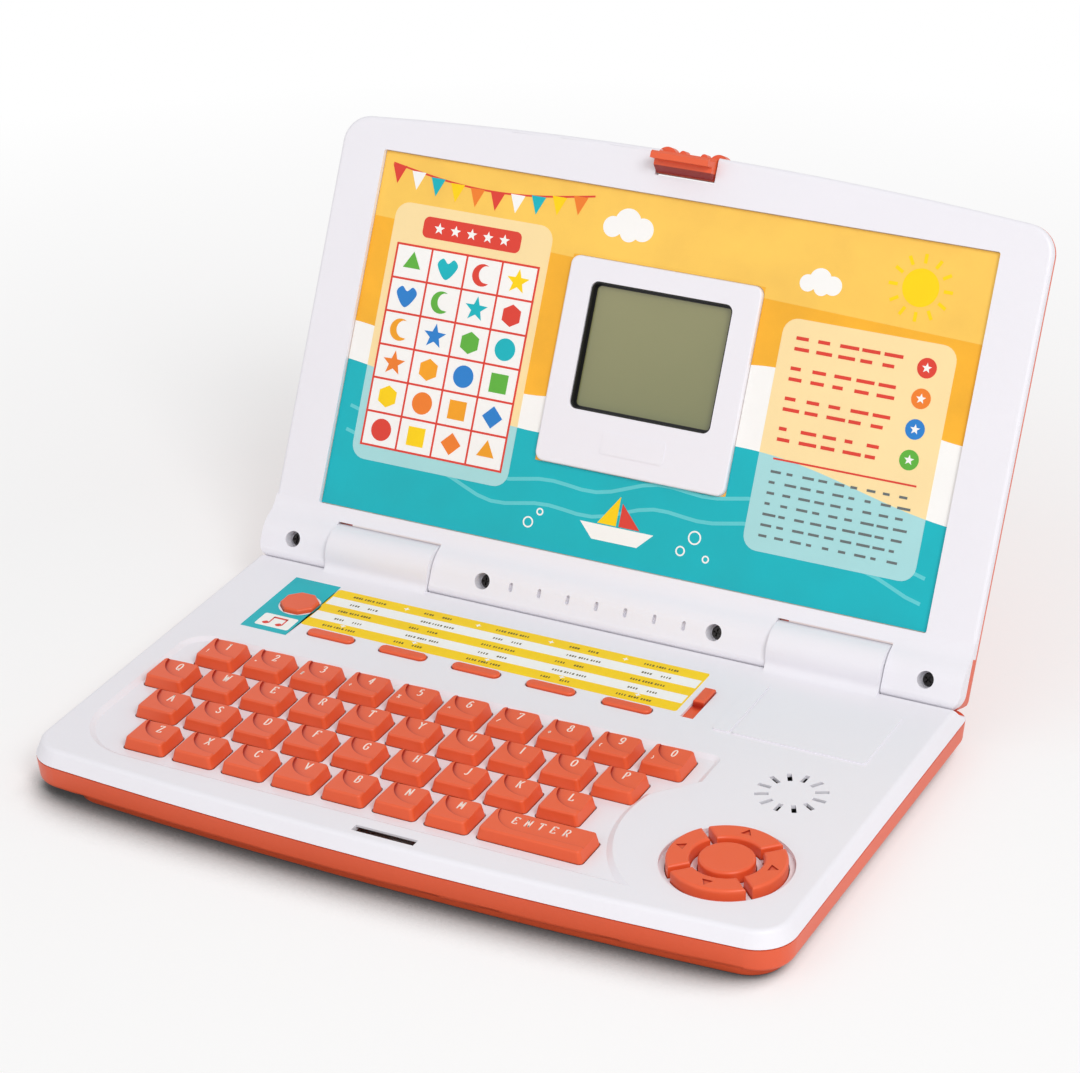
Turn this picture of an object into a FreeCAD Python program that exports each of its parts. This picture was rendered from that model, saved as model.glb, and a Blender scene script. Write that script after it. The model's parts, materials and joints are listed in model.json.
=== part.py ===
import FreeCAD, Part
import Sketcher
import math
import os
from types import SimpleNamespace

# A toy laptop computer, standing open on a table. Millimetres, +X to the right, +Y to the back, +Z up.
# The origin is the middle of the underside. The lid is drawn lying flat, with its hinge line on the
# X axis, its height along +Y and its screen side up, and its pieces are then placed at the open angle.

# Driving sizes. Distances on the deck count from the left, right or front edge of the base.
SIZES = {
    # Keyboard
    "key_width": 14.2,
    "key_depth": 12.9,
    "key_height": 3.85,
    "key_pitch_x": 17.2,
    "key_pitch_y": 17.6,
    "key_side_slope": 0.95,
    "key_front_slope": 0.4,
    "key_corner": 1.3,
    "key_edge": 0.7,
    "key_lip": 0.9,
    "enter_width": 34.1,
    "dish_radius": 9.6,
    "dish_side": 2.5,
    "dish_back": 0.1,
    "dish_tilt": 4.5,
    "dish_depth": 0.4,
    "row_one_shift": 7.3,
    "row_three_shift": 8.2,
    "row_four_shift": 15.3,
    # Plan of the base
    "tray_rim": 11.6,
    "key_side_gap": 1.3,
    "tray_end_gap": 4.5,
    "island_width": 56.3,
    "key_front": 17.65,
    "deck_depth": 66.95,
    "hinge_inset": 1.7,
    "front_crown": 5.0,
    "front_corner": 12.0,
    "rear_corner": 7.0,
    "tray_front": 14.0,
    "tray_back_gap": 2.6,
    "tray_corner": 20.0,
    "tray_back_corner": 8.0,
    "tray_sweep": 47.0,
    "tray_bite": 12.5,
    "tray_bite_drop": 13.1,
    "tray_flare": 58.0,
    # Heights and walls of the base
    "bottom_height": 10.5,
    "top_height": 5.0,
    "wall_lean": 23.0,
    "rim_lean": 6.0,
    "top_edge": 1.8,
    "belly_drop": 2.4,
    "belly_left": 13.5,
    "belly_right": 2.4,
    "belly_front": 1.3,
    "belly_edge": 0.8,
    "belly_lean": 14.0,
    "wall_inset": 4.0,
    "skin": 2.0,
    "tray_depth": 1.1,
    "seam_gap": 0.4,
    "seam_depth": 0.7,
    "fit": 0.3,
    # Screw posts
    "post_radius": 3.6,
    "post_hole": 1.45,
    "post_head": 3.1,
    "post_side": 8.5,
    "post_front": 11.0,
    "post_front_side": 24.0,
    "post_middle": 97.5,
    "post_rear": 129.0,
    # Function buttons, melody button and power slider
    "pill_length": 16.5,
    "pill_width": 4.0,
    "pill_rise": 0.9,
    "pill_pitch": 26.1,
    "pill_first": 51.8,
    "pill_setback": 19.4,
    "melody_radius": 6.4,
    "melody_rise": 1.5,
    "melody_side": 32.0,
    "melody_setback": 33.7,
    "slider_width": 3.7,
    "slider_length": 8.8,
    "slider_rise": 1.3,
    "slider_travel": 8.6,
    "slider_side": 74.4,
    "slider_setback": 34.1,
    "slider_plate": 1.3,
    "slider_skin": 1.0,
    # Direction pad
    "pad_side": 29.6,
    "pad_front": 34.5,
    "pad_well": 19.6,
    "pad_outer": 17.5,
    "pad_inner": 10.7,
    "pad_middle": 8.3,
    "pad_gap": 2.0,
    "pad_rise": 2.3,
    "pad_sink": 1.6,
    "pad_edge": 0.9,
    "arrow_radius": 1.9,
    "arrow_depth": 0.35,
    # Speaker, raised panel and catch slot
    "speaker_radius": 18.0,
    "speaker_height": 9.0,
    "speaker_side": 28.1,
    "speaker_front": 77.4,
    "grille_inner": 6.8,
    "grille_length": 4.2,
    "grille_slot": 1.5,
    "grille_skin": 1.2,
    "relief_side": 14.7,
    "relief_width": 43.3,
    "relief_strip": 5.6,
    "relief_gap": 0.9,
    "relief_depth": 30.8,
    "relief_setback": 17.7,
    "relief_rise": 0.5,
    # Electronics and battery bay
    "standoff": 4.0,
    "standoff_radius": 2.6,
    "board_thick": 1.6,
    "board_left": 15.0,
    "board_right": 9.0,
    "board_front": 15.0,
    "board_back": 9.0,
    "sheet_thick": 1.0,
    "dome_height": 2.4,
    "dome_radius": 3.6,
    "dome_top": 2.2,
    "bay_side": 20.5,
    "bay_gap": 2.2,
    "bay_depth": 34.0,
    "bay_setback": 17.6,
    "bay_wall": 1.0,
    "door_thick": 1.3,
    "door_sink": 0.3,
    # Hinge
    "hinge_rise": 4.2,
    "barrel_radius": 8.5,
    "trough_radius": 9.0,
    "knuckle_radius": 8.05,
    "knuckle_start": 60.0,
    "knuckle_length": 38.0,
    "knuckle_cove": 3.0,
    "pin_radius": 3.0,
    "pin_length": 5.0,
    "running_fit": 0.05,
    # Lid
    "lid_tilt": 26.8,
    "lid_side": 1.2,
    "lid_front": 3.4,
    "lid_crown": 5.2,
    "lid_corner": 9.5,
    "lid_edge": 1.2,
    "lid_back_edge": 5.5,
    "lid_face": 0.5,
    "lid_part": 2.5,
    "lid_back": 8.5,
    "lid_skin": 2.0,
    "lid_wall": 3.0,
    "chin_reach": 5.7,
    "chin_round": 2.0,
    "chin_height": 13.5,
    "chin_corner": 6.0,
    "bezel_side": 16.2,
    "bezel_top": 14.6,
    "panel_depth": 2.0,
    "card_thick": 0.4,
    "frame_width": 67.0,
    "frame_height": 67.3,
    "frame_low": 28.4,
    "frame_rise": 0.1,
    "frame_corner": 3.0,
    "window_width": 49.6,
    "window_height": 41.5,
    "window_low": 46.9,
    "window_corner": 2.5,
    "badge_width": 22.0,
    "badge_height": 7.2,
    "badge_low": 34.3,
    "badge_rise": 0.25,
    "display_thick": 3.0,
    "display_margin": 4.0,
    "chin_hole": 2.7,
    "chin_hole_inner": 41.0,
    "chin_hole_edge": 11.9,
    "chin_hole_depth": 4.5,
    "vent_pitch": 10.2,
    "vent_width": 1.3,
    "vent_height": 3.0,
    "vent_depth": 1.5,
    # Catch at the lid's top edge
    "catch_width": 20.0,
    "catch_grip_width": 25.2,
    "catch_pivot": 5.4,
    "catch_pin": 1.2,
    "catch_pin_length": 2.6,
    "catch_play": 0.4,
    "catch_foot": 2.2,
    "catch_reach": 7.3,
    "catch_neck": 1.8,
    "catch_barb": 0.65,
    "catch_back": 4.3,
    "slot_width": 20.4,
    "slot_depth": 3.05,
    "slot_edge": 1.55,
    "slot_lip": 0.7,
    "slot_relief": 3.5,
    "grip_bump": 3.5,
    "grip_bump_x": 9.0,
    "grip_bead": 1.2,
    "grip_bead_x": 3.7,
}

ROWS = ("1234567890", "qwertyuiop", "asdfghjkl", "zxcvbnm")
PILL_COUNT = 5
GRILLE_SLOTS = 12
GRILLE_TURN = 117.0
VENT_COUNT = 7
ROUND_END = 0.499
DIRECTIONS = ("right", "up", "left", "down")

doc = FreeCAD.newDocument("toy_laptop")
sheet = doc.addObject("Spreadsheet::Sheet", "Sizes")
for line, (alias, number) in enumerate(SIZES.items(), start=1):
    sheet.set(f"A{line}", alias)
    sheet.set(f"B{line}", str(number))
    sheet.setAlias(f"B{line}", alias)
doc.recompute()


class Size:
    """A number together with the expression that ties it to the cells of the sheet."""

    def __init__(self, value, text):
        self.value = float(value)
        self.text = text

    def __add__(self, other):
        other = as_size(other)
        return Size(self.value + other.value, f"({self.text} + {other.text})")

    def __sub__(self, other):
        other = as_size(other)
        return Size(self.value - other.value, f"({self.text} - {other.text})")

    def __mul__(self, other):
        other = as_size(other)
        return Size(self.value * other.value, f"({self.text} * {other.text})")

    def __truediv__(self, other):
        other = as_size(other)
        return Size(self.value / other.value, f"({self.text} / {other.text})")

    def __neg__(self):
        return Size(-self.value, f"(0 - {self.text})")

    def __radd__(self, other):
        return as_size(other) + self

    def __rsub__(self, other):
        return as_size(other) - self

    def __rmul__(self, other):
        return as_size(other) * self


def as_size(number):
    """A plain number as a Size."""
    if isinstance(number, Size):
        return number
    return Size(number, f"({float(number)!r})")


def grown(limits, margin):
    """A pair of limits moved apart by a margin at each end."""
    return as_size(limits[0]) - margin, as_size(limits[1]) + margin


def around(middle, width):
    """The limits of a width laid out around its middle."""
    return as_size(middle) - width / 2, as_size(middle) + width / 2


def root(square):
    """The square root of a Size."""
    return Size(math.sqrt(square.value), f"sqrt({square.text})")


def bind(item, sizes):
    """Tie properties of an object to expressions of the sheet's cells."""
    for name, number in sizes.items():
        item.setExpression(name, as_size(number).text)


S = SimpleNamespace(**{alias: Size(sheet.get(alias), f"Sizes.{alias}") for alias in SIZES})
NODES = []


# Solids

def move(item, x, y, z):
    """Tie an object's place to the sheet."""
    bind(item, {"Placement.Base.x": x, "Placement.Base.y": y, "Placement.Base.z": z})
    return item


def turn(item, axis, degrees):
    """Turn an object about an axis through its own origin."""
    item.Placement = FreeCAD.Placement(FreeCAD.Vector(), FreeCAD.Rotation(FreeCAD.Vector(*axis), degrees))
    return item


def box(name, x, y, z):
    """A box between pairs of limits."""
    item = doc.addObject("Part::Box", name)
    lows = [as_size(pair[0]) for pair in (x, y, z)]
    spans = [as_size(pair[1]) - pair[0] for pair in (x, y, z)]
    bind(item, dict(zip(("Length", "Width", "Height"), spans)))
    return move(item, *lows)


def rod(name, x, y, z, radius):
    """An upright cylinder between two heights."""
    item = doc.addObject("Part::Cylinder", name)
    bind(item, {"Radius": radius, "Height": as_size(z[1]) - z[0]})
    return move(item, x, y, z[0])


def rod_across(name, x, y, z, radius):
    """A cylinder along X between two limits."""
    item = turn(doc.addObject("Part::Cylinder", name), (0, 1, 0), 90)
    bind(item, {"Radius": radius, "Height": as_size(x[1]) - x[0]})
    return move(item, x[0], y, z)


def cone(name, x, y, z, low_radius, high_radius):
    """An upright cone between two heights."""
    item = doc.addObject("Part::Cone", name)
    bind(item, {"Radius1": low_radius, "Radius2": high_radius, "Height": as_size(z[1]) - z[0]})
    return move(item, x, y, z[0])


def fuse(name, parts):
    """One solid from several."""
    item = doc.addObject("Part::MultiFuse", name)
    item.Shapes = list(parts)
    return item


def cut(name, base, tools):
    """A solid with others taken out of it."""
    item = doc.addObject("Part::Cut", name)
    item.Base = base
    item.Tool = tools[0] if len(tools) == 1 else fuse(name + "_tools", tools)
    return item


def common(name, first, second):
    """What two solids share."""
    item = doc.addObject("Part::Common", name)
    item.Base = first
    item.Tool = second
    return item


def round_edges(name, base, choices):
    """Round the edges of a solid that pass a test, each with its own radius."""
    doc.recompute()
    item = doc.addObject("Part::Fillet", name)
    item.Base = base
    item.Edges = [
        (number, radius.value, radius.value)
        for number, edge in enumerate(base.Shape.Edges, start=1)
        for test, radius in choices
        if test(edge.BoundBox)
    ]
    return item


def level(height):
    """A test for edges that lie at one height."""
    return lambda b: abs(b.ZMin - height.value) < 1e-4 and abs(b.ZMax - height.value) < 1e-4


def rising(low, high):
    """A test for edges that climb from one height to another."""
    return lambda b: abs(b.ZMin - low.value) < 1e-4 and abs(b.ZMax - high.value) < 1e-4


# Sketched solids

def arc_through(start, end, radius):
    """A short arc between two points: it bends left where the radius is positive."""
    span = end - start
    middle = (start + end) / 2
    side = FreeCAD.Vector(-span.y, span.x, 0).normalize()
    lift = math.sqrt(max(radius * radius - span.Length ** 2 / 4, 0.0))
    centre = middle + side * math.copysign(lift, radius)
    circle = Part.Circle(centre, FreeCAD.Vector(0, 0, 1), abs(radius))
    first, last = (start, end) if radius > 0 else (end, start)
    angles = [math.atan2(p.y - centre.y, p.x - centre.x) for p in (first, last)]
    return Part.ArcOfCircle(circle, *angles)


def draw(sketch, outline):
    """A closed outline of corners (x, y), with a third value where an arc leads on to the next corner."""
    corners = [FreeCAD.Vector(as_size(c[0]).value, as_size(c[1]).value, 0) for c in outline]
    ends = []
    for number, corner in enumerate(outline):
        start = corners[number]
        end = corners[(number + 1) % len(corners)]
        if len(corner) == 2:
            ends.append((sketch.addGeometry(Part.LineSegment(start, end)), 1, 2))
            continue
        radius = as_size(corner[2])
        piece = sketch.addGeometry(arc_through(start, end, radius.value))
        ends.append((piece, 1, 2) if radius.value > 0 else (piece, 2, 1))
    for number, (piece, first, last) in enumerate(ends):
        after, after_first, after_last = ends[(number + 1) % len(ends)]
        sketch.addConstraint(Sketcher.Constraint("Coincident", piece, last, after, after_first))
    for (piece, first, last), corner in zip(ends, outline):
        for kind, place in zip(("DistanceX", "DistanceY"), corner):
            place = as_size(place)
            number = sketch.addConstraint(Sketcher.Constraint(kind, -1, 1, piece, first, place.value))
            sketch.setExpression(f"Constraints[{number}]", place.text)
        if len(corner) == 3:
            radius = as_size(corner[2])
            length = radius if radius.value > 0 else -radius
            number = sketch.addConstraint(Sketcher.Constraint("Radius", piece, length.value))
            sketch.setExpression(f"Constraints[{number}]", length.text)


def slab(name, outline, z, lean=0, plane="XY_Plane"):
    """An outline raised between two distances from a plane. A lean draws it in."""
    body = doc.addObject("PartDesign::Body", name)
    sketch = body.newObject("Sketcher::SketchObject", name + "_sketch")
    support = [item for item in body.Origin.OriginFeatures if item.Role == plane][0]
    sketch.AttachmentSupport = [(support, "")]
    sketch.MapMode = "FlatFace"
    bind(sketch, {"AttachmentOffset.Base.z": z[0]})
    draw(sketch, outline)
    pad = body.newObject("PartDesign::Pad", name + "_pad")
    pad.Profile = sketch
    bind(pad, {"Length": as_size(z[1]) - z[0], "TaperAngle": -as_size(lean)})
    return body


def rounded(x, y, radius):
    """The outline of a rectangle with rounded corners."""
    x0, x1, y0, y1 = as_size(x[0]), as_size(x[1]), as_size(y[0]), as_size(y[1])
    return [
        (x0 + radius, y0), (x1 - radius, y0, radius),
        (x1, y0 + radius), (x1, y1 - radius, radius),
        (x1 - radius, y1), (x0 + radius, y1, radius),
        (x0, y1 - radius), (x0, y0 + radius, radius),
    ]


def crowned(half, low, high, crown, corner, low_corner):
    """A plate outline whose far edge, at high, bows out between two round corners."""
    sweep = (half * half + crown * crown) / (2 * crown)
    centre = high - sweep
    corner_x = half - corner
    corner_y = centre + root((sweep - corner) * (sweep - corner) - corner_x * corner_x)
    reach = sweep / (sweep - corner)
    touch_x = corner_x * reach
    touch_y = centre + (corner_y - centre) * reach
    if low_corner is None:
        foot = [(-half, low), (half, low)]
    else:
        foot = [
            (-half, low + low_corner, low_corner), (-half + low_corner, low),
            (half - low_corner, low, low_corner), (half, low + low_corner),
        ]
    return foot + [
        (half, corner_y, corner), (touch_x, touch_y, sweep),
        (-touch_x, touch_y, corner), (-half, corner_y),
    ]


def flipped(outline):
    """An outline turned half round, so that what was at the back is at the front."""
    return [(-as_size(c[0]), -as_size(c[1]), *c[2:]) for c in outline]


def flipped_up(outline):
    """An outline mirrored front to back and drawn the other way, for a solid that is then turned over."""
    mirrored = [(as_size(c[0]), -as_size(c[1])) for c in outline]
    arcs = [c[2:] for c in outline]
    count = len(outline)
    return [mirrored[-n % count] + arcs[(-n - 1) % count] for n in range(count)]


def keep(label, item):
    """Name a finished piece."""
    item.Label = label
    NODES.append(item)
    return item


# Places that many pieces share

base_width = (S.tray_rim + S.key_side_gap + S.row_one_shift + S.key_pitch_x * (len(ROWS[0]) - 1)
              + S.key_width + S.tray_end_gap + S.island_width)
base_depth = (S.key_front + S.key_pitch_y * (len(ROWS) - 1) + S.key_depth + S.deck_depth + S.hinge_inset)
half_width = base_width / 2
half_depth = base_depth / 2
left, right = -half_width, half_width
front, rear = -half_depth, half_depth
keys_back = front + S.key_front + S.key_pitch_y * (len(ROWS) - 1) + S.key_depth

seam = S.bottom_height
top_face = seam + S.top_height
ceiling = top_face - S.skin
tray_floor = top_face - S.tray_depth
tray_under = tray_floor - S.skin
floor = S.skin
board_low = floor + S.standoff
board_top = board_low + S.board_thick
sheet_top = board_top + S.sheet_thick
foot = sheet_top + S.dome_height

hinge_y = rear - S.hinge_inset
hinge_z = top_face + S.hinge_rise
knuckle_end = S.knuckle_start + S.knuckle_length
lid_half = half_width - S.lid_side
lid_top = hinge_y - front - S.lid_front

tray_left = left + S.tray_rim
tray_right = right - S.island_width
keys_left = tray_left + S.key_side_gap
row_shifts = (S.row_one_shift, as_size(0), S.row_three_shift, S.row_four_shift)

pad_x, pad_y = right - S.pad_side, front + S.pad_front
speaker_x, speaker_y = right - S.speaker_side, front + S.speaker_front
pill_y = keys_back + S.pill_setback
melody_x, melody_y = left + S.melody_side, keys_back + S.melody_setback
slider_x, slider_y = right - S.slider_side, keys_back + S.slider_setback
slider_plate_low = top_face - S.slider_skin - S.fit / 3 - S.slider_plate
slider_knob_y = around(slider_y, S.slider_length)
bay_x = (slider_x + S.slider_width + S.bay_gap + S.bay_wall, right - S.bay_side)
bay_y = (keys_back + S.bay_setback, keys_back + S.bay_setback + S.bay_depth)
bay_roof = ceiling - S.fit

post_places = [
    (side * (half_width - inset), front + back)
    for side in (-1, 1)
    for inset, back in (
        (S.post_front_side, S.post_front), (S.post_side, S.post_middle), (S.post_side, S.post_rear))
]


def key_places():
    """The name, middle and width of each key."""
    for row, letters in enumerate(ROWS):
        y = keys_back - S.key_depth / 2 - S.key_pitch_y * row
        x = keys_left + row_shifts[row] + S.key_width / 2
        for column, letter in enumerate(letters):
            yield "key_" + letter, x + S.key_pitch_x * column, y, S.key_width
    start = keys_left + S.row_four_shift + S.key_pitch_x * len(ROWS[-1])
    yield "key_enter", start + S.enter_width / 2, y, S.enter_width


def pill_places():
    """The middles of the function buttons."""
    return [(left + S.pill_first + S.pill_pitch * number, pill_y) for number in range(PILL_COUNT)]


def arrow_places():
    """The middles of the four direction buttons, counted from the right anticlockwise."""
    reach = (S.pad_outer + S.pad_inner) / 2
    return [(pad_x + reach, pad_y), (pad_x, pad_y + reach), (pad_x - reach, pad_y), (pad_x, pad_y - reach)]


def plan(inset, corner, rear_corner):
    """The base's plan, drawn in from its outer edge."""
    ends = (front + inset, rear - inset)
    return flipped(crowned(half_width - inset, *ends, S.front_crown, corner, rear_corner))


def belly_plan(inset):
    """The plan of the base's lower belly, drawn in from its outer edge."""
    half = half_width - (S.belly_left + S.belly_right) / 2
    middle = (S.belly_left - S.belly_right) / 2
    crown = S.front_crown * half * half / (half_width * half_width)
    corner = S.front_corner - inset
    ends = (front + S.belly_front + inset, rear - S.belly_front - inset)
    outline = flipped(crowned(half - inset, *ends, crown, corner, corner))
    return [(c[0] + middle, *c[1:]) for c in outline]


def post_foot(x):
    """Where a screw post starts: in the belly's floor or, beside the belly, in the rim."""
    return S.belly_drop if x.value < (left + S.belly_left).value else floor / 2


# Keys and buttons

def make_key(label, x, y, width):
    """A key with sloping sides, a round dish for its letter, a stem and a lip that stops it from below."""
    cap = turn(doc.addObject("Part::Wedge", label + "_cap"), (1, 0, 0), 90)
    bind(cap, {
        "Xmin": -width / 2, "Xmax": width / 2, "Zmin": -S.key_depth / 2, "Zmax": S.key_depth / 2,
        "Ymin": 0, "Ymax": S.key_height,
        "X2min": -width / 2 + S.key_side_slope, "X2max": width / 2 - S.key_side_slope,
        "Z2min": -S.key_depth / 2 + S.key_front_slope, "Z2max": S.key_depth / 2 - S.key_front_slope,
    })
    choices = [(rising(as_size(0), S.key_height), S.key_corner), (level(S.key_height), S.key_edge)]
    soft_cap = round_edges(label + "_soft", cap, choices)
    dish_x, dish_y = S.key_width - S.dish_side - width / 2, S.key_depth / 2 - S.dish_back
    if width is S.key_width:
        dish = turn(doc.addObject("Part::Cylinder", label + "_dish"), (-1, 1, 0), -S.dish_tilt.value)
        bind(dish, {"Radius": S.dish_radius, "Height": S.key_height,
                    "Placement.Rotation.Angle": -S.dish_tilt})
        move(dish, dish_x, dish_y, S.key_height)
    else:
        low = dish_y - S.dish_radius
        dish = slab(label + "_dish", [
            (dish_x - S.dish_radius, dish_y, S.dish_radius), (dish_x, low), (width, low),
            (width, S.key_depth), (dish_x - S.dish_radius, S.key_depth),
        ], (S.key_height - S.dish_depth, S.key_height * 2))
    dished = cut(label + "_dished", soft_cap, [dish])
    sides, ends = around(0, width), around(0, S.key_depth)
    stem = box(label + "_stem", grown(sides, -S.key_corner / 2), grown(ends, -S.key_corner / 2),
               (tray_under - tray_floor, 0))
    lip = box(label + "_lip", grown(sides, S.key_lip), grown(ends, S.key_lip),
              (foot - tray_floor, tray_under - tray_floor))
    move(keep(label, fuse(label, [dished, stem, lip])), x, y, tray_floor)


def make_pill(label, x, y):
    """A long thin function button with round ends and a lip below the deck."""
    sides, ends = around(0, S.pill_length), around(0, S.pill_width)
    top = top_face + S.pill_rise
    bar = slab(label + "_bar", rounded(sides, ends, S.pill_width * ROUND_END), (ceiling, top))
    soft_bar = round_edges(label + "_soft", bar, [(level(top), S.key_edge)])
    lip = box(label + "_lip", grown(sides, S.key_lip), grown(ends, S.key_lip), (foot, ceiling))
    move(keep(label, fuse(label, [soft_bar, lip])), x, y, 0)


def octagon(name, radius, z):
    """An upright eight-sided prism, flat side to the front."""
    item = turn(doc.addObject("Part::Prism", name), (0, 0, 1), 22.5)
    item.Polygon = 8
    bind(item, {"Circumradius": radius, "Height": as_size(z[1]) - z[0]})
    return move(item, 0, 0, z[0])


def make_melody_button():
    """The eight-sided melody button."""
    top = top_face + S.melody_rise
    cap = round_edges("melody_soft", octagon("melody_cap", S.melody_radius, (ceiling, top)),
                      [(level(top), S.key_edge)])
    lip = rod("melody_lip", 0, 0, (foot, ceiling), S.melody_radius + S.key_lip)
    move(keep("melody_button", fuse("melody_button", [cap, lip])), melody_x, melody_y, 0)


def make_power_slider():
    """The power slider: a knob on a plate that runs under the deck, its place at the rear end."""
    knob_x, knob_y = around(0, S.slider_width), around(0, S.slider_length)
    top = top_face + S.slider_rise
    plate_top = slider_plate_low + S.slider_plate
    knob = round_edges("slider_soft", box("slider_knob", knob_x, knob_y, (plate_top, top)),
                       [(level(top), S.key_edge)])
    plate = box("slider_plate", around(0, S.slider_width * 2),
                (knob_y[0] - S.slider_travel - S.key_lip, knob_y[1] + S.slider_travel),
                (slider_plate_low, plate_top))
    move(keep("power_switch", fuse("power_switch", [knob, plate])), slider_x, slider_y, 0)


def quarter(name, inner, outer, gap, z):
    """A quarter of a ring that faces +X, with half a gap left free at each end."""
    ring = cut(name + "_ring", rod(name + "_outer", 0, 0, z, outer), [rod(name + "_inner", 0, 0, z, inner)])
    wedge = turn(doc.addObject("Part::Box", name + "_wedge"), (0, 0, 1), -45)
    bind(wedge, {"Length": outer, "Width": outer, "Height": as_size(z[1]) - z[0]})
    move(wedge, gap * math.sqrt(0.5), 0, z[0])
    return common(name, ring, wedge)


def make_arrow(label, number):
    """A direction button: a quarter ring with a small sunk arrow and a lip below the pad's floor."""
    top = top_face + S.pad_rise
    arc = quarter(label + "_arc", S.pad_inner, S.pad_outer, S.pad_gap, (tray_under, top))
    soft = round_edges(label + "_soft", arc, [(level(top), S.pad_edge)])
    arrow = doc.addObject("Part::Prism", label + "_arrow")
    arrow.Polygon = 3
    bind(arrow, {"Circumradius": S.arrow_radius, "Height": S.arrow_depth * 2})
    move(arrow, (S.pad_outer + S.pad_inner) / 2, 0, top - S.arrow_depth)
    lip = quarter(label + "_lip", S.pad_inner - S.key_lip, S.pad_outer + S.key_lip, S.fit * 2,
                  (foot, tray_under))
    item = fuse(label, [cut(label + "_marked", soft, [arrow]), lip])
    move(turn(keep(label, item), (0, 0, 1), 90 * number), pad_x, pad_y, 0)


def make_centre_button():
    """The round button in the middle of the direction pad."""
    top = top_face + S.pad_rise
    cap = round_edges("centre_soft", rod("centre_cap", 0, 0, (tray_under, top), S.pad_middle),
                      [(level(top), S.pad_edge)])
    lip = rod("centre_lip", 0, 0, (foot, tray_under), S.pad_middle + S.key_lip)
    move(keep("centre_button", fuse("centre_button", [cap, lip])), pad_x, pad_y, 0)


# Base

def tray_outline():
    """The key tray, which swings round the direction pad on its right."""
    y0, y1 = front + S.tray_front, keys_back + S.tray_back_gap
    corner, back = S.tray_corner, S.tray_back_corner
    bite_x, bite_y = tray_right - S.tray_bite, y1 - S.tray_bite_drop
    sweep_y = bite_y - S.tray_bite * 2
    sweep_x = bite_x + S.tray_sweep
    reach = sweep_y - y0
    foot_x = sweep_x - root(S.tray_sweep * S.tray_sweep - reach * reach)
    head_x = sweep_x - root(S.tray_sweep * S.tray_sweep - S.tray_bite * S.tray_bite)
    return [
        (tray_left + corner, y0), (foot_x, y0, -S.tray_sweep),
        (head_x, sweep_y + S.tray_bite), (tray_right, bite_y),
        (tray_right, y1 - S.key_corner, S.key_corner), (tray_right - S.key_corner, y1),
        (tray_left + back, y1, back), (tray_left, y1 - back),
        (tray_left, y0 + corner, corner),
    ]


def make_knuckle(side):
    """A hinge knuckle of the base with its two pins, from the inner end outwards."""
    name = "knuckle_left" if side < 0 else "knuckle_right"
    spans = ((S.knuckle_start, knuckle_end), (S.knuckle_start - S.pin_length, knuckle_end + S.pin_length))
    (a, b), (c, d) = [(n, f) if side > 0 else (-f, -n) for n, f in spans]
    barrel = rod_across(name, (a, b), hinge_y, hinge_z, S.knuckle_radius)
    block = box(name + "_block", (a, b), (hinge_y - S.knuckle_radius, rear - S.skin), (ceiling, hinge_z))
    pins = rod_across(name + "_pins", (c, d), hinge_y, hinge_z, S.pin_radius)
    face = hinge_y - S.knuckle_radius
    cove = slab(name + "_cove", [
        (face - S.knuckle_cove, ceiling), (hinge_y, ceiling), (hinge_y, top_face + S.knuckle_cove),
        (face, top_face + S.knuckle_cove, -S.knuckle_cove), (face - S.knuckle_cove, top_face),
    ], (a, b), plane="YZ_Plane")
    return [barrel, block, pins, cove]


def barrel_zones():
    """The three stretches of X where the lid's barrel turns."""
    return ((left - 1, -knuckle_end), (-S.knuckle_start, S.knuckle_start), (knuckle_end, right + 1))


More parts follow.
